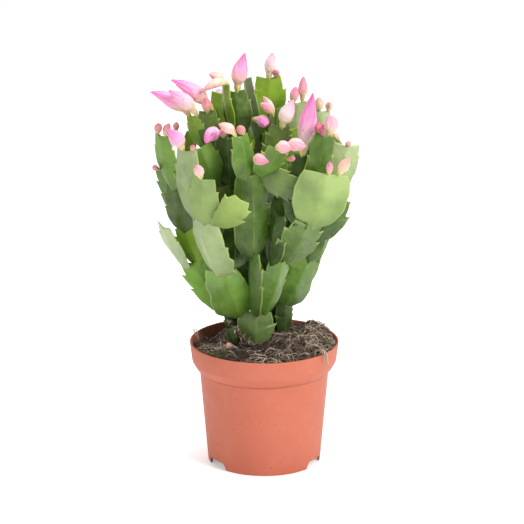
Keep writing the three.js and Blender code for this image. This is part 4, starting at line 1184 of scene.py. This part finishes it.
def pot_profile():
    """The wall's outline from the middle of the underside, up the outside and down the inside."""
    return rounded(
        [
            (0, 0),
            (BOSS_RADIUS, 0),
            (BOSS_RADIUS + FOOT_DRAFT, FLOOR_UNDERSIDE),
            (FOOT_RADIUS - WALL + FOOT_DRAFT, FLOOR_UNDERSIDE),
            (FOOT_RADIUS - WALL, 0),
            (FOOT_RADIUS, 0),
            (BODY_TOP_RADIUS, BODY_TOP),
            (SHOULDER_MIDDLE_RADIUS, SHOULDER_MIDDLE),
            (SHOULDER_TOP_RADIUS, SHOULDER_TOP),
            (RIM_RADIUS, POT_HEIGHT),
            (RIM_RADIUS - WALL, POT_HEIGHT),
            (SHOULDER_TOP_RADIUS - WALL, SHOULDER_TOP + INNER_TOP_RISE),
            (SHOULDER_MIDDLE_RADIUS - WALL, SHOULDER_MIDDLE + INNER_MIDDLE_RISE),
            (BODY_TOP_RADIUS - WALL, BODY_TOP + INNER_BODY_RISE),
            (inner_radius(FLOOR_TOP), FLOOR_TOP),
            (0, FLOOR_TOP),
        ],
        POT_ROUNDING,
    )


def pot_cutters():
    """The notches under the foot and the drain holes."""
    notch = [
        (-NOTCH_HALF_WIDTH, -NOTCH_MARGIN),
        (NOTCH_HALF_WIDTH, -NOTCH_MARGIN),
        (NOTCH_TOP_HALF_WIDTH + NOTCH_FLARE, NOTCH_HEIGHT - NOTCH_CORNER_DROP),
        (NOTCH_TOP_HALF_WIDTH - NOTCH_CORNER, NOTCH_HEIGHT),
        (-NOTCH_TOP_HALF_WIDTH + NOTCH_CORNER, NOTCH_HEIGHT),
        (-NOTCH_TOP_HALF_WIDTH - NOTCH_FLARE, NOTCH_HEIGHT - NOTCH_CORNER_DROP),
    ]
    for angle in NOTCH_ANGLES:
        yield prism(notch, NOTCH_INWARD - FOOT_RADIUS, -FOOT_RADIUS - NOTCH_OUTWARD, math.radians(angle))
    for x, y, _ in circle(DRAIN_CIRCLE, DRAIN_COUNT, 0):
        levels = (FLOOR_UNDERSIDE - DRAIN_MARGIN, FLOOR_TOP + DRAIN_MARGIN)
        points = [point for z in levels for point in circle(DRAIN_RADIUS, DRAIN_SIDES, z, x, y)]
        yield points, ring_faces(2, DRAIN_SIDES)


def build_pot(material):
    points, faces = lathe_mesh(pot_profile(), POT_SEGMENTS)
    white, nowhere = [(1, 1, 1)] * len(points), [(0, 0, 0)] * len(points)
    pot = make_piece("pot_moulded", points, faces, white, nowhere, material, "pot", ("pot",))
    cut(pot, pot_cutters())
    pot.data.polygons.foreach_set("use_smooth", [True] * len(pot.data.polygons))
    pot.data.set_sharp_from_angle(angle=math.radians(POT_SHARP_ANGLE))


# Soil


def soil_height(x, y):
    """Height of the soil at a place, level round the stems' feet, as in the part."""
    relief = RIPPLE_HEIGHT * math.sin(x * RIPPLE_ACROSS + 1) * math.sin(y * RIPPLE_DEEP + x * RIPPLE_SKEW)
    for cx, cy, radius, height in MOUNDS:
        relief += height * math.exp(-((x - cx) ** 2 + (y - cy) ** 2) / radius**2)
    nearest = min(math.hypot(x - foot[0], y - foot[1]) for foot, *_ in STEMS.values())
    share = clamp((nearest - CALM_RADIUS) / (ROUGH_RADIUS - CALM_RADIUS))
    return SOIL_LEVEL + relief * share * share * (3 - 2 * share)


def crumb_height(x, y):
    """Height of the soil with its lumps and grains, calmer at the wall."""
    rough = LUMP_HEIGHT * noise.fractal(Vector((x, y, 0)) * LUMP_SCALE, ROUGHNESS, LACUNARITY, 5)
    fine = GRAIN_HEIGHT * abs(noise.noise(Vector((x, y, 7)) * GRAIN_SCALE))
    fade = clamp((band_radius(SOIL_LEVEL) - math.hypot(x, y)) / WALL_FADE)
    return soil_height(x, y) + (rough + fine) * mix(WALL_CALM, 1, fade)


def soil_tone(x, y):
    """Dark peat, darker at the left as painted shade and paler toward the right, partly drier peat and
    partly painted light, and drier in patches.
    """
    patch = noise.fractal(Vector((x, y, 3)) * DRY_SCALE, ROUGHNESS, LACUNARITY, 4)
    # The share of the pale tone: dryness in patches, and a slope that paints light at the right and shade
    # at the left
    dry = clamp(DRY_LEAST + DRY_AND_LIGHT_SLOPE * (x - DRY_AND_LIGHT_MIDDLE) + DRY_PATCH * patch)
    return shade_between(PEAT_DARK, PEAT_DRY_AND_LIT, dry)


def build_soil(material):
    """The rough top of the peat, and its plain sides and underside in the pot."""
    points, tones = [], []
    edge = band_radius(SOIL_LEVEL) - SOIL_GAP
    for ring in range(1, SOIL_RINGS + 1):
        share = math.sin(ring / SOIL_RINGS * math.pi / 2) ** RING_CROWDING
        for x, y, _ in circle(share * edge, SOIL_SEGMENTS, 0):
            z = crumb_height(x, y)
            scale = (band_radius(z) - SOIL_GAP) / edge
            points.append((x * scale, y * scale, z))
            tones.append(soil_tone(x, y))
    levels = (
        (band_radius(SHOULDER_TOP), SHOULDER_TOP + SOIL_SHOULDER_LIFT),
        (inner_radius(BODY_TOP), BODY_TOP + SOIL_BODY_LIFT),
        (inner_radius(FLOOR_TOP), FLOOR_TOP + SOIL_FLOOR_LIFT),
    )
    for radius, z in levels:
        points.extend(circle(radius - SOIL_WALL_GAP, SOIL_SEGMENTS, z))
        tones.extend([linear(PEAT_DARK)] * SOIL_SEGMENTS)
    faces = ring_faces(SOIL_RINGS + len(levels), SOIL_SEGMENTS)
    del faces[-2]
    faces = [face[::-1] for face in faces]
    centre = len(points)
    points.append((0, 0, crumb_height(0, 0)))
    tones.append(soil_tone(0, 0))
    faces.extend([centre, i, (i + 1) % SOIL_SEGMENTS] for i in range(SOIL_SEGMENTS))
    make_piece("soil_peat", points, faces, tones, [(0, 0, 0)] * len(points), material, "soil", ("soil",))


# Litter on the soil


def strand(line, radius, tone, sides=4):
    """A thin tube along a line of points, narrowed at both ends."""
    line = [np.array(p, float) for p in line]
    last = len(line) - 1
    points, places = [], []
    for i, point in enumerate(line):
        tangent = unit(line[min(i + 1, last)] - line[max(i - 1, 0)])
        right = unit(np.cross(tangent, STRAND_LEVEL))
        up = np.cross(tangent, right)
        share = i / last
        swell = math.sin(math.pi * clamp(share, STRAND_END, 1 - STRAND_END)) ** 0.5
        width = radius * mix(STRAND_TIP, 1, swell)
        for angle in round_angles(sides):
            points.append(point + (right * math.cos(angle) + up * math.sin(angle)) * width)
            places.append((share, angle / math.tau, 0))
    return points, ring_faces(len(line), sides), [tone] * len(points), places


def crumb(centre, size, tone, draw):
    """A lump of peat: a rough ball of a few rings."""
    shift = Vector([draw() * NOISE_REACH for _ in range(3)])
    flat = np.array([1, 1, pick(draw, *CRUMB_FLATNESS)])
    turn = draw() * math.pi
    points, shades = [], []
    for r in range(CRUMB_RINGS):
        polar = (r + 0.5) / CRUMB_RINGS * math.pi
        for x, y, z in circle(math.sin(polar), CRUMB_SIDES, -math.cos(polar)):
            way = np.array([*turned(x, y, turn), z])
            reach = size * (1 + CRUMB_ROUGHNESS * noise.noise(Vector(way) * CRUMB_GRAIN + shift))
            points.append(centre + way * reach * flat)
            shades.append(tone * pick(draw, *CRUMB_SHADES))
    return points, ring_faces(CRUMB_RINGS, CRUMB_SIDES), shades, [(0, 0, 0)] * len(points)


def wander(start, heading, length, count, bend, lift, draw):
    """A line that lies on the soil and turns a little as it goes."""
    x, y = start
    limit = band_radius(SOIL_LEVEL) - LINE_MARGIN
    step = length / (count - 1)
    curl = bend * swing(draw)
    line = []
    for i in range(count):
        line.append((x, y, crumb_height(x, y) + LINE_LIFT + lift * math.sin(math.pi * i / (count - 1))))
        heading += curl + bend * LINE_JITTER * swing(draw)
        x, y = x + math.cos(heading) * step, y + math.sin(heading) * step
        inward = min(1, limit / math.hypot(x, y))
        x, y = x * inward, y * inward
    return line


def soil_spot(limit, draw):
    """A random place on the soil."""
    reach, angle = limit * math.sqrt(draw()), draw() * math.tau
    return reach * math.cos(angle), reach * math.sin(angle)


def build_crumbs(material, limit, draw):
    crumbs = Heap()
    for _ in range(CRUMB_COUNT):
        x, y = soil_spot(limit, draw)
        size = pick(draw, *CRUMB_SIZES)
        # The crumbs take the peat's tone, with its painted light at the right and painted shade at the left
        tone = soil_tone(x, y) * pick(draw, *CRUMB_TONES)
        centre = np.array([x, y, crumb_height(x, y) + size * CRUMB_LIFT])
        crumbs.add(*crumb(centre, size, tone, draw))
    crumbs.piece("soil_crumbs", material, "soil")


def build_rootlets(material, limit, draw):
    """Rootlets all over the soil, straw in its patches, the tuft and the wisp."""
    roots = Heap()
    for _ in range(ROOTLET_COUNT):
        start = soil_spot(limit, draw)
        tone = shade_between(ROOT_DARK, STRAW_PALE, draw() ** 2)
        heading, length = draw() * math.tau, pick(draw, *ROOTLET_LENGTHS)
        line = wander(start, heading, length, 6, ROOTLET_BEND, ROOTLET_LIFT * draw(), draw)
        roots.add(*strand(line, pick(draw, *ROOTLET_RADII), tone, 3))
    for cx, cy, spread, count in STRAW_PATCHES:
        for _ in range(count):
            start = [c + spread * (draw() + draw() - 1) * PATCH_REACH for c in (cx, cy)]
            if math.hypot(*start) > limit:
                continue
            tone = mix(linear(STRAW_DARK) * STRAW_SHADE, linear(STRAW_PALE), draw() ** 1.3)
            heading, length = draw() * math.tau, pick(draw, *STRAW_LENGTHS)
            line = wander(start, heading, length, 7, STRAW_BEND, pick(draw, *STRAW_LIFTS), draw)
            roots.add(*strand(line, pick(draw, *STRAW_RADII), tone))
    for line, radius in loose_lines(draw):
        roots.add(*strand(line, radius, shade_between(STRAW, STRAW_PALE, draw())))
    roots.piece("soil_rootlets", material, "soil")


def loose_lines(draw):
    """The tuft of straw that hangs over the rim, and the wisp of grass that stands at the left."""
    for _ in range(TUFT["count"]):
        shift = scatter(draw, *TUFT["spread"])
        root, over, end = (np.array(TUFT[k], float) + shift for k in ("root", "over", "end"))
        over = over + [0, 0, 0.8 * draw()]
        end = mix(over, end, pick(draw, 0.35, 0.65)) + [1.6 * (draw() - 0.5), 0, 0]
        rise, fall = mix(root, over, 0.6) + [0, 0, 1], mix(over, end, 0.5) + [0.4, -0.4, 0]
        yield [root, rise, over, fall, end], TUFT["radius"]
    for _ in range(WISP["count"]):
        root = np.array(WISP["root"], float) + scatter(draw, 2, 2)
        end = np.array(WISP["end"], float) + scatter(draw, 4, 3) + [0, 0, -5 * draw()]
        yield [root, mix(root, end, 0.5) + [1.2 * (draw() - 0.5), 0, 0], end], WISP["radius"]


def build_twig(material, draw):
    """The dry twig, with short hairs on it."""
    twig = Heap()
    twig.add(*strand(TWIG, TWIG_THICKNESS, linear(ROOT_DARK), 8))
    for _ in range(HAIR_COUNT):
        k = int(draw() * (len(TWIG) - 1))
        start = np.array(TWIG[k]) + [0, 0, HAIR_LIFT]
        way = np.array([draw() - lean for lean in HAIR_LEANS])
        bend = start + way * pick(draw, *HAIR_LENGTHS)
        end = bend + way * 2 + [0, 0, -HAIR_DROP * draw()]
        radius = pick(draw, *HAIR_RADII)
        twig.add(*strand([start, bend, end], radius, shade_between(ROOT_DARK, STRAW_PALE, draw())))
    twig.piece("soil_twig", material, "soil")


def build_litter(material):
    """Crumbs, rootlets, straw and the twig, which share one random source."""
    draw = random_source(LITTER_SEED)
    limit = band_radius(SOIL_LEVEL) - LITTER_MARGIN
    build_crumbs(material, limit, draw)
    build_rootlets(material, limit, draw)
    build_twig(material, draw)


def build_moss(material):
    """Small cushions of moss: many short pointed leaves on each."""
    draw = random_source(MOSS_SEED)
    limit = band_radius(SOIL_LEVEL) - LITTER_MARGIN
    moss = Heap()
    for cx, cy, spread, count in MOSS_PATCHES:
        for _ in range(count):
            angle, reach = draw() * math.tau, spread * math.sqrt(draw())
            x, y = cx + reach * math.cos(angle), cy + reach * math.sin(angle)
            if math.hypot(x, y) > limit:
                continue
            root = np.array([x, y, crumb_height(x, y) - MOSS_SINK])
            lean = scatter(draw, 1, 1) + [0, 0, pick(draw, *MOSS_RISES)]
            tip = root + unit(lean) * pick(draw, *MOSS_LENGTHS)
            tone = shade_between(MOSS_DARK, MOSS_PALE, draw())
            middle = (root + tip) / 2 + scatter(draw, MOSS_BEND, MOSS_BEND)
            moss.add(*strand([root, middle, tip], pick(draw, *MOSS_RADII), tone, 3))
    moss.piece("soil_moss", material, "soil")


# Materials


class Nodes:
    """Short calls that add nodes to one material. A value is a number, a tuple or a node's output."""

    def __init__(self, name):
        self.material = bpy.data.materials.new(name)
        self.material.use_nodes = True
        self.nodes, self.links = self.material.node_tree.nodes, self.material.node_tree.links
        self.shader = self.nodes["Principled BSDF"]
        self.object_place = self.node("ShaderNodeTexCoord")["Object"]

    def put(self, socket, value):
        if isinstance(value, (int, float, tuple)):
            socket.default_value = value
        else:
            self.links.new(value, socket)

    def node(self, kind, values=None, **options):
        """Adds a node with its options and the values of its inputs, and gives its outputs."""
        node = self.nodes.new(kind)
        for name, option in options.items():
            setattr(node, name, option)
        for key, value in (values or {}).items():
            self.put(node.inputs[key], value)
        return node.outputs

    def tone(self):
        return self.node("ShaderNodeAttribute", attribute_name="tone")["Color"]

    def place(self):
        """The three parts of a point's place on its segment or bud."""
        return self.parts(self.node("ShaderNodeAttribute", attribute_name="place")["Vector"])

    def parts(self, vector):
        return self.node("ShaderNodeSeparateXYZ", {0: vector})

    def noise(self, scale, detail=4, roughness=0.55, place=None):
        values = {"Scale": scale, "Detail": detail, "Roughness": roughness}
        return self.node("ShaderNodeTexNoise", {**values, "Vector": place or self.object_place})["Fac"]

    def dots(self, scale, low, high):
        """Small round dots, one in each cell."""
        cells = self.node("ShaderNodeTexVoronoi", {"Scale": scale, "Vector": self.object_place})
        return self.spread(cells["Distance"], low, high, 1, 0)

    def spread(self, value, low, high, to_low=0, to_high=1):
        """A value stretched from one range to another, and held inside it."""
        limits = {"From Min": low, "From Max": high, "To Min": to_low, "To Max": to_high}
        return self.node("ShaderNodeMapRange", {"Value": value, **limits})["Result"]

    def math(self, kind, a, b=0):
        return self.node("ShaderNodeMath", {0: a, 1: b}, operation=kind)[0]

    def times(self, a, b):
        return self.math("MULTIPLY", a, b)

    def blend(self, share, a, b):
        """A colour between two others, which may be names of marks."""
        values = {"Factor": share}
        for socket, value in zip(MIX_COLOURS, (a, b)):
            values[socket] = (*linear(MARKS[value]), 1) if isinstance(value, str) else value
        return self.node("ShaderNodeMix", values, data_type="RGBA")[MIX_RESULT]

    def outward(self):
        """How far a face looks away from the upright middle line: below 0 on the inside of a wall."""
        flat = self.node("ShaderNodeVectorMath", {0: self.object_place, 1: (1, 1, 0)}, operation="MULTIPLY")
        normal = self.node("ShaderNodeNewGeometry")["Normal"]
        return self.node("ShaderNodeVectorMath", {0: flat[0], 1: normal}, operation="DOT_PRODUCT")["Value"]

    def bump(self, height, strength, distance):
        values = {"Strength": strength, "Distance": distance, "Height": height}
        self.set(Normal=self.node("ShaderNodeBump", values)["Normal"])

    def set(self, **values):
        for name, value in values.items():
            self.put(self.shader.inputs[name.replace("_", " ")], value)


def blade_material():
    m = Nodes("blade_skin")
    across, along, tooth = m.place()
    mottle = m.noise(95, 5, 0.6)
    colour = m.blend(m.spread(mottle, 0.4, 0.75, 0, 0.3), m.tone(), "blade bloom")
    colour = m.blend(m.spread(m.noise(34, 3, 0.5), 0.42, 0.72, 0, 0.5), colour, "blade shadow")
    slant = m.math("SUBTRACT", m.times(along, 34), m.times(across, 9))
    vein = m.times(m.spread(m.math("SINE", slant), 0.75, 1), m.spread(across, 0.75, 0.95, 1, 0))
    vein = m.times(vein, m.spread(m.noise(70, 3), 0.4, 0.65))
    colour = m.blend(m.times(vein, 0.06), colour, "blade vein")
    rib = m.times(m.spread(across, 0, 0.07, 1, 0), m.spread(m.noise(40, 2), 0.35, 0.65, 0.02, 0.2))
    colour = m.blend(rib, colour, "blade rib")
    edge = m.times(m.spread(across, 0.93, 0.98), m.spread(m.noise(55, 2), 0.3, 0.65, 0.15, 0.6))
    colour = m.blend(edge, colour, "blade edge")
    colour = m.blend(m.times(tooth, 0.5), colour, "blade tooth")
    speck = m.times(m.dots(420, 0.08, 0.16), m.spread(m.noise(60, 2), 0.52, 0.64, 0, 0.4))
    colour = m.blend(speck, colour, "blade speck")
    gloss = m.spread(m.noise(24, 2), 0.42, 0.62, 0.04, 0.5)
    m.set(
        Base_Color=colour,
        Roughness=m.spread(mottle, 0.3, 0.7, 0.4, 0.55),
        Specular_IOR_Level=0.3,
        Coat_Weight=m.times(gloss, m.spread(across, 0.02, 0.16)),
        Coat_Roughness=0.16,
        Subsurface_Weight=0.1,
        Subsurface_Scale=0.002,
        Subsurface_Radius=(0.6, 1.0, 0.25),
    )
    fine = m.math("ADD", m.times(m.noise(700, 3), 0.02), m.times(vein, 0.03))
    m.bump(m.math("ADD", m.noise(62, 2), fine), 0.6, 0.005)
    return m.material


def bud_material():
    m = Nodes("bud_skin")
    across, along, _ = m.place()
    streaks = m.node("ShaderNodeCombineXYZ", {"X": m.times(across, 22), "Y": m.times(along, 1.5)})[0]
    line = m.noise(1, 3, 0.6, streaks)
    colour = m.blend(m.spread(line, 0.4, 0.75, 0, 0.24), m.tone(), "bud streak")
    colour = m.blend(m.spread(m.noise(160, 3), 0.52, 0.8, 0, 0.25), colour, "bud blush")
    m.set(
        Base_Color=colour,
        Roughness=0.42,
        Subsurface_Weight=0.06,
        Subsurface_Scale=0.001,
        Subsurface_Radius=(1, 0.5, 0.6),
    )
    m.bump(line, 0.2, 0.0002)
    return m.material


def pot_material():
    m = Nodes("pot_plastic")
    mottle = m.noise(26, 4, 0.6)
    colour = m.blend(m.spread(mottle, 0.35, 0.7), "pot clay", "pot clay pale")
    dust = m.noise(90, 6, 0.7)
    colour = m.blend(m.spread(dust, 0.56, 0.75, 0, 0.25), colour, "pot dust")
    # Darker on the inside of the wall: partly soil stains, partly painted shade for the shadow inside the
    # pot
    inside_dirt_and_shade = m.times(m.spread(m.outward(), -0.01, 0, 1, 0), m.spread(mottle, 0.3, 0.7, 0.55, 0.85))
    colour = m.blend(inside_dirt_and_shade, colour, "pot inside dirt and shade")
    # Painted shade: a darker line where the shoulder's step meets the body
    away = m.math("ABSOLUTE", m.math("SUBTRACT", m.parts(m.object_place)["Z"], BODY_TOP * MM))
    painted_step_shade = m.times(m.spread(away, 0, GROOVE_SHADE, 1, 0), m.spread(mottle, 0.3, 0.7, 0.3, 0.6))
    colour = m.blend(painted_step_shade, colour, "pot step painted shade")
    dirt = m.times(m.dots(230, 0.06, 0.12), m.spread(m.noise(45, 3), 0.52, 0.62, 0, 0.85))
    m.set(
        Base_Color=m.blend(dirt, colour, "pot dirt"),
        Roughness=m.spread(dust, 0.3, 0.7, 0.46, 0.6),
        Subsurface_Weight=0.06,
        Subsurface_Scale=0.002,
        Subsurface_Radius=(1, 0.4, 0.25),
    )
    m.bump(m.noise(900, 3), 0.12, 0.0002)
    return m.material


def soil_material():
    m = Nodes("soil_peat")
    grain = m.noise(520, 6, 0.7)
    colour = m.blend(m.spread(grain, 0.35, 0.65, 0, 0.8), m.tone(), "peat grain")
    flecks = m.spread(m.noise(1100, 2), 0.62, 0.7, 0, 0.7)
    m.set(Base_Color=m.blend(flecks, colour, "peat fleck"), Roughness=0.9)
    m.bump(grain, 0.8, 0.001)
    return m.material


def litter_material():
    m = Nodes("soil_litter")
    grain = m.noise(800, 4, 0.6)
    m.set(Base_Color=m.blend(m.spread(grain, 0.35, 0.7, 0, 0.5), m.tone(), "litter grain"), Roughness=0.8)
    m.bump(grain, 0.4, 0.0004)
    return m.material


def moss_material():
    m = Nodes("soil_moss")
    grain = m.noise(900, 3)
    m.set(Base_Color=m.blend(m.spread(grain, 0.4, 0.7, 0, 0.4), m.tone(), "moss grain"), Roughness=0.75)
    m.bump(grain, 0.3, 0.0003)
    return m.material


def floor_material():
    m = Nodes("floor_paper")
    seen = m.node("ShaderNodeLightPath")["Is Camera Ray"]
    m.set(
        Base_Color=m.blend(m.spread(m.noise(40, 3), 0.3, 0.7), "paper", "paper pale"),
        Roughness=0.7,
        Emission_Color=(1, 1, 1, 1),
        Emission_Strength=m.spread(seen, 0, 1, 0, FLOOR_GLOW),
    )
    return m.material


# Camera, floor and light


def look_along(thing, away):
    """Turns a camera or lamp so that it looks opposite to the given way."""
    thing.rotation_mode = "QUATERNION"
    thing.rotation_quaternion = away.to_track_quat("Z", "Y")


def place_camera():
    camera = put_in_scene("camera", bpy.data.cameras.new("camera"))
    elevation = math.radians(CAMERA_ELEVATION)
    away = Vector((0, -math.cos(elevation), math.sin(elevation)))
    camera.location = (Vector(CAMERA_AIM) + away * CAMERA_DISTANCE) * MM
    look_along(camera, away)
    camera.data.lens = CAMERA_LENS
    camera.data.sensor_width = SENSOR_WIDTH
    camera.data.clip_end = SIGHT_METRES
    bpy.context.scene.camera = camera


def add_light(name, place, aim, size, power):
    light = bpy.data.lights.new(name, "AREA")
    light.shape = "DISK"
    light.size = size
    light.energy = power
    lamp = put_in_scene(name, light)
    lamp.location = place
    look_along(lamp, Vector(place) - Vector(aim))


def build_floor(material):
    mesh = bpy.data.meshes.new("floor")
    corners = [(x * FLOOR_REACH, y * FLOOR_REACH, 0) for x, y in ((-1, -1), (1, -1), (1, 1), (-1, 1))]
    mesh.from_pydata(corners, [], [(0, 1, 2, 3)])
    mesh.materials.append(material)
    floor = put_in_scene("floor", mesh)
    floor.location.z = -FLOOR_DROP
    floor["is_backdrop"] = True


def light_scene():
    """A soft white world that is full white to the camera, and the lamps."""
    world = bpy.data.worlds.new("studio")
    world.use_nodes = True
    nodes, links = world.node_tree.nodes, world.node_tree.links
    background = nodes["Background"]
    background.inputs["Color"].default_value = (1, 1, 1, 1)
    strength = nodes.new("ShaderNodeMapRange")
    strength.inputs["To Min"].default_value = WORLD_STRENGTH
    strength.inputs["To Max"].default_value = 1
    links.new(nodes.new("ShaderNodeLightPath").outputs["Is Camera Ray"], strength.inputs["Value"])
    links.new(strength.outputs["Result"], background.inputs["Strength"])
    bpy.context.scene.world = world
    bpy.context.scene.view_settings.view_transform = "Standard"
    for row in LIGHTS:
        add_light(*row)


all_blades = grow_blades()
build_pot(pot_material())
build_stems(all_blades)
build_buds(all_blades)
build_soil(soil_material())
build_litter(litter_material())
build_moss(moss_material())
build_floor(floor_material())
place_camera()
light_scene()

boxes = {"cad": cad_box, "visual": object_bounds()}
{name: [list(corner) for corner in box] for name, box in boxes.items()}
